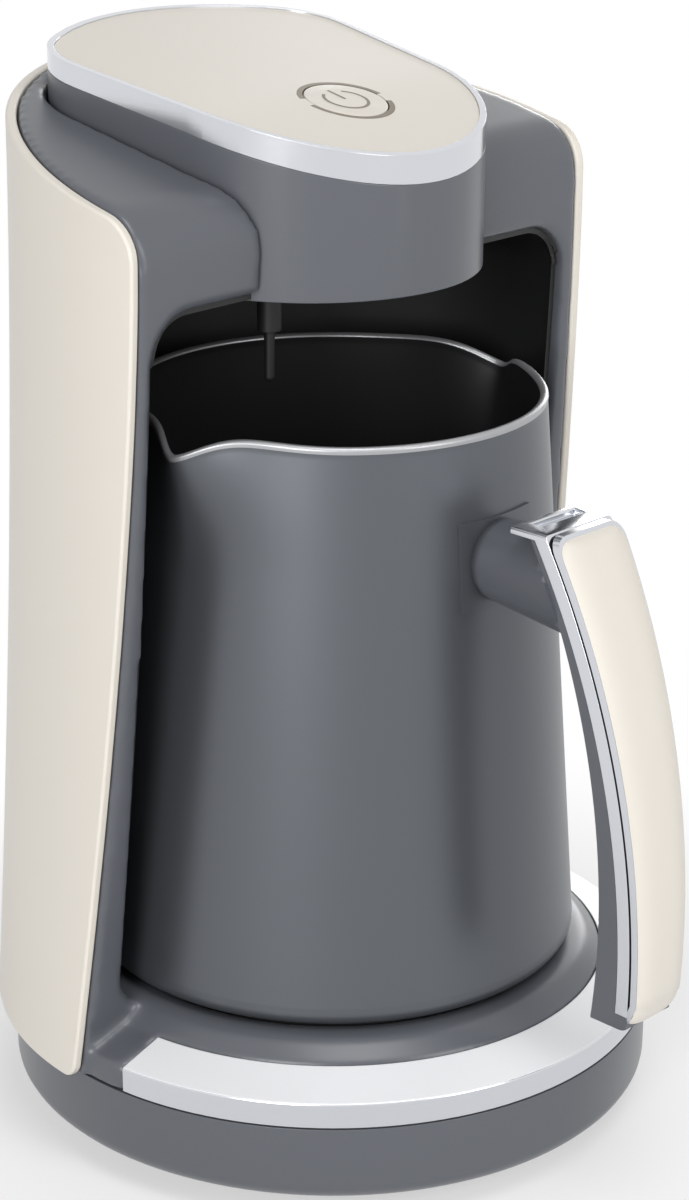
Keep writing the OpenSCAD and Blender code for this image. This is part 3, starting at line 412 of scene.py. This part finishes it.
KEY_Z = ARCH_Z + math.sqrt(LID_ARCH_R ** 2 - (ARCH_Y + KEY_Y) ** 2)


def shell_out(z):
    """Radius of the panel's outside, which flares towards the base."""
    return SHELL_R + SHELL_FLARE * max(0.0, (SHOULDER_Z - z) / (SHOULDER_Z - SHELL_Z)) ** SHELL_CURVE


def face_at(z):
    """How far back the housing's front face stands, which leans away towards the base."""
    return -FACE_Y + FACE_LEAN * max(0.0, (FACE_TOP_Z - z) / (FACE_TOP_Z - PART_Z)) ** FACE_CURVE


# ---------------------------------------------------------------- panel

EDGE_STEPS, CORNER_STEPS, FOOT_DEG = 60, 9, 15
BOTTOM_STEPS, TOP_STEPS = 110, 90
# the flat sheet is filled with a grid of points before it is rolled up
ROLL_R, FILL_COLUMNS, FILL_PAST, FILL_STEP, FILL_TOP_Z, FILL_MARGIN = 75.0, 90, 0.3, 3.0, 240.0, 1.6
FILL_MERGE = 1e-5
PANEL_EDGE_W, PANEL_EDGE_DEG = 0.75, 50.0


def panel_front_edge():
    """Side view (y, z) of the panel's front edge: foot corner, leaning edge, shoulder corner."""
    foot_z = SHELL_Z + PANEL_FOOT_R
    foot_y = face_at(foot_z) + PANEL_BACK + PANEL_FOOT_R
    slope = math.atan(SHOULDER_SLOPE)
    top_y = face_at(FACE_TOP_Z) + PANEL_BACK + PANEL_CORNER_R
    top_z = SHOULDER_Z - PANEL_DROP + SHOULDER_SLOPE * top_y - PANEL_CORNER_R / math.cos(slope)
    side = []
    for degrees in range(90, 0, -FOOT_DEG):
        a = math.radians(degrees)
        side.append((foot_y - PANEL_FOOT_R * math.cos(a), foot_z - PANEL_FOOT_R * math.sin(a)))
    for i in range(EDGE_STEPS + 1):
        z = foot_z + (top_z - foot_z) * i / EDGE_STEPS
        side.append((face_at(z) + PANEL_BACK, z))
    turn = 90 - math.degrees(slope)
    for i in range(1, CORNER_STEPS + 1):
        a = math.radians(turn * i / CORNER_STEPS)
        side.append((top_y - PANEL_CORNER_R * math.cos(a), top_z + PANEL_CORNER_R * math.sin(a)))
    return side


def panel_outline():
    """The panel's developed outline, as points of (angle, z) round it."""
    side = [(math.asin(y / shell_out(z)), z) for y, z in panel_front_edge()]
    start, last = side[0][0], side[-1][0]
    bottom = [(start + (math.pi - 2 * start) * i / BOTTOM_STEPS, SHELL_Z) for i in range(1, BOTTOM_STEPS)]
    top = []
    for i in range(1, TOP_STEPS):
        phi = math.pi - last - (math.pi - 2 * last) * i / TOP_STEPS
        top.append((phi, SHOULDER_Z - PANEL_DROP + SHOULDER_SLOPE * SHELL_R * math.sin(phi)))
    return bottom + [(math.pi - phi, z) for phi, z in side] + top + side[::-1]


def inside(spot, loop):
    """Whether a point lies inside a closed loop of points."""
    hit = False
    before = loop[-1]
    for here in loop:
        if (here.y > spot.y) != (before.y > spot.y):
            if spot.x < (before.x - here.x) * (spot.y - here.y) / (before.y - here.y) + here.x:
                hit = not hit
        before = here
    return hit


def fill_points(flat):
    """A grid of points inside the flat outline, clear of its edge."""
    inner = []
    z = SHELL_Z + FILL_STEP
    while z < FILL_TOP_Z:
        for i in range(1, FILL_COLUMNS):
            phi = -FILL_PAST + (math.pi + 2 * FILL_PAST) * i / FILL_COLUMNS
            spot = Vector((phi * ROLL_R, z))
            if inside(spot, flat) and min((spot - q).length for q in flat) > FILL_MARGIN:
                inner.append(spot)
        z += FILL_STEP
    return inner


def wrap_panel():
    """The pale panel as one even mesh: its developed outline is filled, rolled up and thickened."""
    flat = [Vector((phi * ROLL_R, z)) for phi, z in panel_outline()]
    rim = [(i, (i + 1) % len(flat)) for i in range(len(flat))]
    spots, _, faces, _, _, _ = delaunay_2d_cdt(flat + fill_points(flat), rim, [], 1, FILL_MERGE)
    bm = bmesh.new()
    made = []
    for spot in spots:
        phi, r = spot.x / ROLL_R, shell_out(spot.y)
        made.append(bm.verts.new((mm(r * math.cos(phi)), mm(AXIS_Y + r * math.sin(phi)), mm(spot.y))))
    for face in faces:
        bm.faces.new([made[k] for k in face])
    bmesh.ops.recalc_face_normals(bm, faces=bm.faces)
    obj = piece_from("wrap_panel", bm, IVORY, "shell_panel", ["shell_panel"])
    first = obj.data.polygons[0]
    outward = first.normal.x * first.center.x + first.normal.y * (first.center.y - mm(AXIS_Y)) > 0
    wall = obj.modifiers.new("wall", "SOLIDIFY")
    wall.thickness = mm(SHELL_T)
    wall.offset = -1.0 if outward else 1.0
    wall.use_even_offset = True
    edge = obj.modifiers.new("edge", "BEVEL")
    edge.width = mm(PANEL_EDGE_W)
    edge.segments = 3
    edge.limit_method = "ANGLE"
    edge.angle_limit = math.radians(PANEL_EDGE_DEG)
    edge.harden_normals = True
    smooth_faces(obj)


# ---------------------------------------------------------------- pot

LIPS = (-LIP_TURN, 180.0 + LIP_TURN)
# the rim dips at a lip and swells a little beside it
DIP, DIP_DEG = 4.3, 8.6
SWELL, SWELL_AT_DEG, SWELL_DEG = 0.8, 14.5, 17.0
# the wall bulges out at a lip, less and wider further down
LIP_OUT, LIP_DEG, LIP_SPREAD_DEG, LIP_DEPTH, LIP_CURVE, LIP_FULL = 6.2, 9.3, 12.0, 30.0, 1.6, 0.6
# the rolled rim's middle, as a share of the wall's height, and its half sizes across and up
RIM_ROW, ROLL_ACROSS, ROLL_UP = 0.993, 0.98, 0.9
# rows of the wall as shares of its height, closer together where the lips bulge
FOOT_ROWS = (0.0, 0.004, 0.05)
FLOOR_ROW = 0.07
WALL_ROWS = (0.12, 0.2, 0.3, 0.4, 0.5, 0.6, 0.68, 0.74, 0.78, 0.82, 0.85,
             0.88, 0.905, 0.93, 0.95, 0.965, 0.978, 0.988)
RIM_DEGREES, FLOOR_DEGREES = range(0, 181, 20), range(15, 91, 15)
COLUMN_DEG, LIP_COLUMN_DEG, LIP_COLUMNS = 2.5, 0.8, 30
POT_SHARP_DEG = 60
# the rim rows take the painted highlight finish
POT_FINISH = {"out": 0, "in": 1, "floor": 1, "rim": 2}


def from_lip(phi):
    """How far a direction lies from the nearer lip, in degrees."""
    return min(abs((phi - lip + 180.0) % 360.0 - 180.0) for lip in LIPS)


def pot_point(phi, high, inset):
    """A point of the pot's wall; high runs from 0 at its foot to 1 at its rim."""
    away = from_lip(phi)
    dip = DIP * math.exp(-((away / DIP_DEG) ** LIP_CURVE))
    rim = POT_RIM_Z - dip + SWELL * math.exp(-(((away - SWELL_AT_DEG) / SWELL_DEG) ** 2))
    z = POT_FOOT_Z + (rim - POT_FOOT_Z) * high
    below = (rim - z) / LIP_DEPTH
    bulge = 0.0
    if below < 1.0:
        fade = (1.0 - below) ** 2 * (1.0 + LIP_FULL * below)
        bulge = LIP_OUT * fade * math.exp(-((away / (LIP_DEG + LIP_SPREAD_DEG * below)) ** LIP_CURVE))
    r = POT_RIM_R + (POT_BASE_R - POT_RIM_R) * (POT_RIM_Z - z) / (POT_RIM_Z - POT_FOOT_Z) + bulge - inset
    turn = math.radians(phi)
    return Vector((r * math.cos(turn), r * math.sin(turn), z))


def outer_point(phi, high):
    """A point of the wall's outside."""
    return pot_point(phi, high, 0.0)


def inner_point(phi, high):
    """A point of the wall's inside."""
    return pot_point(phi, high, POT_WALL)


def rim_point(phi, degrees):
    """A point of the rolled rim, from its outside at 0 to its inside at 180 degrees."""
    a = math.radians(degrees)
    crest = pot_point(phi, RIM_ROW, POT_WALL / 2)
    out = Vector((math.cos(math.radians(phi)), math.sin(math.radians(phi)), 0.0))
    return crest + out * (ROLL_ACROSS * math.cos(a)) + Vector((0, 0, ROLL_UP * math.sin(a)))


def floor_point(phi, degrees):
    """A point of the round corner between the inside of the wall and the floor."""
    a = math.radians(degrees)
    low = inner_point(phi, FLOOR_ROW)
    reach = math.hypot(low.x, low.y)
    corner = low.z - POT_FOOT_Z - POT_WALL
    r = reach - corner * (1 - math.cos(a))
    return Vector((low.x / reach * r, low.y / reach * r, low.z - corner * math.sin(a)))


def pot_columns():
    """The directions of the pot's columns in degrees, closer together at its lips."""
    even = {round(COLUMN_DEG * k, 3) for k in range(round(360 / COLUMN_DEG))}
    at_lips = {round((lip + LIP_COLUMN_DEG * k) % 360.0, 3)
               for lip in LIPS for k in range(-LIP_COLUMNS, LIP_COLUMNS + 1)}
    return sorted(even | at_lips)


def lay_pot():
    """The pot's wall as one skin: foot, outside, rounded rim in a painted highlight finish, dark inside and
    floor.
    """
    angles = pot_columns()
    rows = [("out", outer_point, high) for high in FOOT_ROWS + WALL_ROWS]
    rows += [("rim", rim_point, degrees) for degrees in RIM_DEGREES]
    rows += [("in", inner_point, high) for high in WALL_ROWS[::-1] + (FLOOR_ROW,)]
    rows += [("floor", floor_point, degrees) for degrees in FLOOR_DEGREES]
    bm = bmesh.new()
    grid = []
    for _, point_at, value in rows:
        spots = [point_at(phi, value) for phi in angles]
        grid.append([bm.verts.new((mm(spot.x), mm(AXIS_Y + spot.y), mm(spot.z))) for spot in spots])
    for k in range(len(grid) - 1):
        for i in range(len(angles)):
            n = (i + 1) % len(angles)
            face = bm.faces.new((grid[k][i], grid[k][n], grid[k + 1][n], grid[k + 1][i]))
            face.material_index = POT_FINISH[rows[k + 1][0]]
            face.smooth = True
    floor = bm.faces.new(grid[-1])
    floor.material_index = POT_FINISH["floor"]
    bm.faces.new(grid[0][::-1])
    bmesh.ops.recalc_face_normals(bm, faces=bm.faces)
    obj = piece_from("pot_skin", bm, POT_ENAMEL, "pot_body", ["pot_body"])
    obj.data.materials.append(POT_INSIDE)
    # the rolled rim's painted highlight finish
    obj.data.materials.append(RIM_PAINTED_HIGHLIGHT)
    obj.data.set_sharp_from_angle(angle=math.radians(POT_SHARP_DEG))


# ---------------------------------------------------------------- handle

# the insert's crown and thickness, the radii of its corners, its seams and where its end rows start
CROWN, CROWN_CURVE, INSERT_T = 1.1, 3.5, 1.18
INSERT_LOW_R, INSERT_TOP_R = 6.5, 4.2
INSERT_SEAM, INSERT_TOP_SEAM, END_FALL = 0.25, 0.3, 4.0
LOW_START, TOP_START = 0.2, 0.1
END_ROW_DEG, END_ROWS, BOW_ROWS, ROW_CROWDING, HALF_COLUMNS = 7.5, 11, 60, 1.4, 12
INSERT_SHARP_DEG = 50


def insert_rows():
    """Side-view rows of the insert: y, z, inward y, inward z, way from its lower and upper end."""
    rows = []
    end_y = math.sqrt(BOW_R ** 2 - (BOW_Z - GRIP_LOW_Z) ** 2) - BOW_Y - GRIP_END_R
    for k in range(1, END_ROWS + 1):
        a = math.radians(END_ROW_DEG * k)
        rows.append((-(end_y + GRIP_END_R * math.sin(a)), GRIP_LOW_Z + GRIP_END_R * (1 - math.cos(a)),
                     math.sin(a), math.cos(a)))
    low = GRIP_LOW_Z + GRIP_END_R
    for k in range(BOW_ROWS + 1):
        z = low + (GRIP_TOP_Z - INSERT_TOP_SEAM - low) * (1 - (1 - k / BOW_ROWS) ** ROW_CROWDING)
        rise = (z - BOW_Z) / BOW_R
        rows.append((BOW_Y - BOW_R * math.sqrt(1 - rise ** 2), z, math.sqrt(1 - rise ** 2), -rise))
    ways = [0.0]
    for before, here in zip(rows, rows[1:]):
        ways.append(ways[-1] + math.hypot(here[0] - before[0], here[1] - before[1]))
    return [(*row, way + LOW_START, ways[-1] - way + TOP_START) for row, way in zip(rows, ways)]


def insert_half(z, from_low, from_top):
    """Half of the insert's width at a row, which narrows round its corners."""
    share = (z - GRIP_LOW_Z) / (GRIP_TOP_Z - GRIP_LOW_Z)
    half = GRIP_LOW_W + (GRIP_TOP_W - GRIP_LOW_W) * share - INSERT_SEAM
    for way, r in ((from_low, INSERT_LOW_R), (from_top, INSERT_TOP_R)):
        if way < r:
            half -= r - math.sqrt(r * r - (r - way) ** 2)
    return half


def crowned_insert():
    """The pale insert: crowned across, with round ends that lap over the thin chrome frame."""
    columns = [math.sin(math.radians(90 * k / HALF_COLUMNS)) for k in range(-HALF_COLUMNS, HALF_COLUMNS + 1)]
    bm = bmesh.new()
    face_grid, back_grid = [], []
    for y, z, in_y, in_z, from_low, from_top in insert_rows():
        half = insert_half(z, from_low, from_top)
        end = max(0.0, 1 - from_low / END_FALL, 1 - from_top / END_FALL) ** 3
        face_row, back_row = [], []
        for u in columns:
            for row, depth in ((face_row, CROWN * max(abs(u) ** CROWN_CURVE, end)), (back_row, INSERT_T)):
                row.append(bm.verts.new((mm(half * u), mm(AXIS_Y + y + in_y * depth), mm(z + in_z * depth))))
        face_grid.append(face_row)
        back_grid.append(back_row)
    last = len(columns) - 1
    for i in range(len(face_grid) - 1):
        for k in range(last):
            bm.faces.new((face_grid[i][k], face_grid[i][k + 1], face_grid[i + 1][k + 1], face_grid[i + 1][k]))
            bm.faces.new((back_grid[i][k], back_grid[i + 1][k], back_grid[i + 1][k + 1], back_grid[i][k + 1]))
        for k in (0, last):
            bm.faces.new((face_grid[i][k], face_grid[i + 1][k], back_grid[i + 1][k], back_grid[i][k]))
    for i in (0, -1):
        for k in range(last):
            bm.faces.new((face_grid[i][k], face_grid[i][k + 1], back_grid[i][k + 1], back_grid[i][k]))
    bmesh.ops.recalc_face_normals(bm, faces=bm.faces)
    obj = piece_from("crowned_insert", bm, IVORY, "handle_insert", ["handle_insert"])
    smooth_faces(obj)
    obj.data.set_sharp_from_angle(angle=math.radians(INSERT_SHARP_DEG))


# ---------------------------------------------------------------- key symbol

# how deep the key's face lies under the lid's arch, and how high the print stands on it
KEY_SINK, PRINT_LIFT = 0.3, 0.03
MARK_R, MARK_W = 5.0, 0.75
MARK_DEGREES = range(122, 419, 8)
BAR_LOW, BAR_STEP, BAR_POINTS = 0.2, 0.8, 8


def key_point(x, y):
    """A point of the print on the key's face, which follows the lid's arch."""
    z = PRINT_LIFT - KEY_SINK - y * y / (2 * LID_ARCH_R)
    return Vector((mm(x), mm(AXIS_Y - KEY_Y + y * math.cos(KEY_TILT) - z * math.sin(KEY_TILT)),
                   mm(KEY_Z + y * math.sin(KEY_TILT) + z * math.cos(KEY_TILT))))


def print_strip(bm, path):
    """A printed stroke along a path of (x, y) points on the key's face."""
    left, right = [], []
    for i, (x, y) in enumerate(path):
        ahead = Vector(path[min(i + 1, len(path) - 1)]) - Vector(path[max(i - 1, 0)])
        side = Vector((-ahead.y, ahead.x)).normalized() * MARK_W / 2
        left.append(bm.verts.new(key_point(x + side.x, y + side.y)))
        right.append(bm.verts.new(key_point(x - side.x, y - side.y)))
    for i in range(len(path) - 1):
        bm.faces.new((left[i], right[i], right[i + 1], left[i + 1]))


def key_symbol():
    """The generic power mark: an open circle, and a bar through its gap."""
    bm = bmesh.new()
    turns = [math.radians(degrees) for degrees in MARK_DEGREES]
    print_strip(bm, [(MARK_R * math.cos(a), MARK_R * math.sin(a)) for a in turns])
    print_strip(bm, [(0.0, BAR_LOW + BAR_STEP * k) for k in range(BAR_POINTS)])
    bmesh.ops.recalc_face_normals(bm, faces=bm.faces)
    piece_from("key_symbol", bm, LIGHT_RING, "power_key")


# ---------------------------------------------------------------- housing

HOUSING_VOXEL, HOUSING_ROUNDS = 0.75, 20
# edges stay firm at the parting line and the trim's seat, and melt a little less in the panel's seam
LINE_Z, LINE_FADE = 25.5, 3.0
SEAM_GAP, SEAM_FADE, SEAM_MELT = 0.7, 1.6, 0.65
SEAT_R, SEAT_Z, SEAT_NEAR, SEAT_FADE, SEAT_END_Y = 64.8, 33.0, 1.5, 2.5, -4.0
# (r, z) profiles of the flange under the trim, and of the rim beside the trim's two ends
TRIM_SEAT = [(57, 30.8), (57, 37.9), (60, 37.9), (64.75, 33.8), (64.85, 32.3), (67.5, 31.2), (67.5, 30.8)]
RIM_END = [(57, 30.8), (57, 33.9), (64.9, 33.9), (68.8, 32.6), (68.8, 30.8)]
SEAT_STEPS, RIM_FIRST_DEG, RIM_LAST_DEG, RIM_STEPS = 180, -6.9, 186.9, 100


def housing_seams(points):
    """How freely each point of the housing melts, from 0 at its firm edges to 1 away from its seams."""
    above_line = (points[:, 2] - LINE_Z) / LINE_FADE
    rise = np.clip((SHOULDER_Z - points[:, 2]) / (SHOULDER_Z - SHELL_Z), 0.0, None)
    panel_inside = SHELL_R + SHELL_FLARE * rise ** SHELL_CURVE - SHELL_T
    reach = np.hypot(points[:, 0], points[:, 1])
    from_panel = (panel_inside - reach - SEAM_GAP) / SEAM_FADE
    from_seat = np.hypot(reach - SEAT_R, points[:, 2] - SEAT_Z)
    beside_trim = np.where(points[:, 1] < SEAT_END_Y, (from_seat - SEAT_NEAR) / SEAT_FADE, 1.0)
    return np.minimum(np.minimum(above_line, np.clip(from_panel, SEAM_MELT, 1.0)), beside_trim)


# ---------------------------------------------------------------- pieces

# the trim's upward faces get a near-white, hardly metallic finish, a painted highlight for the bright sheen
# on its top; its side is bright chrome
UPWARD = 0.5
# the frame round the insert hides behind it at its lower end
BEZEL_END, BEZEL_BACK = 4.5, 1.3
# the liner's front edge stands behind the housing's melted one
LINER_EDGE, LINER_BACK = 1.6, 2.4

melted_copy(("main_housing", "base_deck"), HOUSING_VOXEL, HOUSING_ROUNDS, housing_seams,
            [(TRIM_SEAT, 0, 360, SEAT_STEPS), (RIM_END, RIM_FIRST_DEG, RIM_LAST_DEG, RIM_STEPS)])
wrap_panel()
lay_pot()
key_symbol()
soft_copy("head_housing", 0.9)
soft_copy("lid_band", 0.3)
soft_copy("lid_plate", 0.3)
trim = soft_copy("base_trim", 0.35)
# the upward faces take the painted highlight finish, and the sides stay chrome
trim.data.materials.append(TRIM_TOP_PAINTED_SHEEN)
for polygon in trim.data.polygons:
    if polygon.normal.z > UPWARD:
        polygon.material_index = 1
soft_copy("base_pan", 0.4)
soft_copy("pot_base", 0)
soft_copy("handle_core", 1.1, segments=4)
soft_copy("handle_neck", 0, flatten=False)
soft_copy("handle_trim", 0.3)
bezel = soft_copy("handle_bezel", 0.3)
push_back(bezel, BEZEL_BACK, lambda y, z: z < GRIP_LOW_Z + BEZEL_END)
crowned_insert()
soft_copy("handle_bracket", 0.2)
liner = soft_copy("cavity_liner", 0)
push_back(liner, LINER_BACK, lambda y, z: y - face_at(z) < LINER_EDGE)
soft_copy("probe_sleeve", 0.2)
soft_copy("power_key", 0.2)

# ---------------------------------------------------------------- studio

# the camera was worked out from the round base, rim and lid of the photograph;
# the next three rows are its own axes, to the right, up and backwards
CAMERA_AT = (-465.99, -453.48, 356.70)
CAMERA_RIGHT = (0.69678, -0.71724, 0.00820)
CAMERA_UP = (0.23996, 0.24386, 0.93966)
CAMERA_BACK = (-0.67596, -0.65277, 0.34202)
CAMERA_LENS, SENSOR_W, FAR_CLIP = 89.46, 36.0, 20.0

SOFT_LIGHT, WHITE = 0.26, (1, 1, 1, 1)
# the floor, in metres: its half width, its tone, and the ring in which it fades to white
FLOOR_HALF, PAPER, PAPER_ROUGH = 4.0, 0.9, 0.9
FADE_NEAR, FADE_FAR, NEAR_SHARE = 0.08, 0.22, 0.5


def add_camera():
    """The camera of the photograph."""
    data = bpy.data.cameras.new("camera")
    data.lens = CAMERA_LENS
    data.sensor_width = SENSOR_W
    data.clip_end = FAR_CLIP
    camera = bpy.data.objects.new("camera", data)
    turn = Matrix((CAMERA_RIGHT, CAMERA_UP, CAMERA_BACK)).transposed().to_4x4()
    place = Vector((mm(CAMERA_AT[0]), mm(CAMERA_AT[1] + AXIS_Y), mm(CAMERA_AT[2])))
    camera.matrix_world = Matrix.Translation(place) @ turn
    bpy.context.scene.collection.objects.link(camera)
    bpy.context.scene.camera = camera


def add_area(name, at, target, power, size, size_y=None):
    """A soft box that shines from its place at a target, in metres and watts."""
    data = bpy.data.lights.new(name, "AREA")
    data.energy = power
    data.size = size
    if size_y:
        data.shape = "RECTANGLE"
        data.size_y = size_y
    lamp = bpy.data.objects.new(name, data)
    direction = Vector(target) - Vector(at)
    lamp.matrix_world = Matrix.Translation(at) @ direction.to_track_quat("-Z", "Y").to_matrix().to_4x4()
    bpy.context.scene.collection.objects.link(lamp)


def white_to_rays(tree, emission, surface):
    """Shows plain white to camera, glossy and transmission rays, the given shader to the rest."""
    rays = add(tree, "ShaderNodeLightPath")
    any_ray = add(tree, "ShaderNodeMath", operation="MAXIMUM")
    all_rays = add(tree, "ShaderNodeMath", operation="MAXIMUM")
    mix = add(tree, "ShaderNodeMixShader")
    wire(
        tree,
        (rays.outputs["Is Camera Ray"], any_ray.inputs[0]),
        (rays.outputs["Is Glossy Ray"], any_ray.inputs[1]),
        (any_ray.outputs[0], all_rays.inputs[0]),
        (rays.outputs["Is Transmission Ray"], all_rays.inputs[1]),
        (all_rays.outputs[0], mix.inputs[0]),
        (surface, mix.inputs[1]),
        (emission, mix.inputs[2]),
    )
    return mix


def add_world():
    """A soft even sky that shows as plain white."""
    world = bpy.data.worlds.new("studio")
    bpy.context.scene.world = world
    world.use_nodes = True
    tree = world.node_tree
    tree.nodes.clear()
    soft = add(tree, "ShaderNodeBackground", {"Color": WHITE, "Strength": SOFT_LIGHT})
    white = add(tree, "ShaderNodeBackground", {"Color": WHITE, "Strength": 1.0})
    out = add(tree, "ShaderNodeOutputWorld")
    mix = white_to_rays(tree, white.outputs[0], soft.outputs[0])
    wire(tree, (mix.outputs[0], out.inputs["Surface"]))


def add_floor():
    """A pale floor that keeps the object's shadow."""
    bm = bmesh.new()
    bmesh.ops.create_grid(bm, x_segments=1, y_segments=1, size=FLOOR_HALF)
    mesh = bpy.data.meshes.new("floor")
    bm.to_mesh(mesh)
    bm.free()
    floor = bpy.data.objects.new("floor", mesh)
    bpy.context.scene.collection.objects.link(floor)
    made, tree, shader = blank_material("floor_paper")
    shader.inputs["Base Color"].default_value = (PAPER, PAPER, PAPER, 1)
    shader.inputs["Roughness"].default_value = PAPER_ROUGH
    # seen directly, the paper fades to plain white away from the object and keeps its shadow near it
    white = add(tree, "ShaderNodeEmission", {"Color": WHITE, "Strength": 1.0})
    mix = white_to_rays(tree, white.outputs[0], shader.outputs[0])
    place = add(tree, "ShaderNodeTexCoord")
    reach = add(tree, "ShaderNodeVectorMath", operation="LENGTH")
    fade = add(tree, "ShaderNodeMapRange", interpolation_type="SMOOTHSTEP",
               values={"From Min": FADE_NEAR, "From Max": FADE_FAR, "To Min": NEAR_SHARE, "To Max": 1.0})
    share = add(tree, "ShaderNodeMath", operation="MULTIPLY")
    seen = mix.inputs[0].links[0].from_socket
    wire(
        tree,
        (place.outputs["Object"], reach.inputs[0]),
        (reach.outputs["Value"], fade.inputs["Value"]),
        (seen, share.inputs[0]),
        (fade.outputs["Result"], share.inputs[1]),
        (share.outputs[0], mix.inputs[0]),
        (mix.outputs[0], tree.nodes["Material Output"].inputs["Surface"]),
    )
    mesh.materials.append(made)


add_camera()
add_world()
add_floor()
add_area("key_box", at=(-1.5, -0.7, 0.6), target=(0, 0, 0.12), power=15, size=0.6, size_y=1.0)
add_area("fill_box", at=(0.1, -1.6, 0.8), target=(0, 0, 0.12), power=8, size=0.6, size_y=1.0)
add_area("top_box", at=(-0.3, -0.6, 1.7), target=(0, 0, 0.1), power=9, size=0.8)
add_area("back_box", at=(1.3, 0.7, 0.4), target=(0, 0, 0.15), power=6, size=0.9, size_y=0.5)

bpy.context.scene.view_settings.view_transform = "Standard"
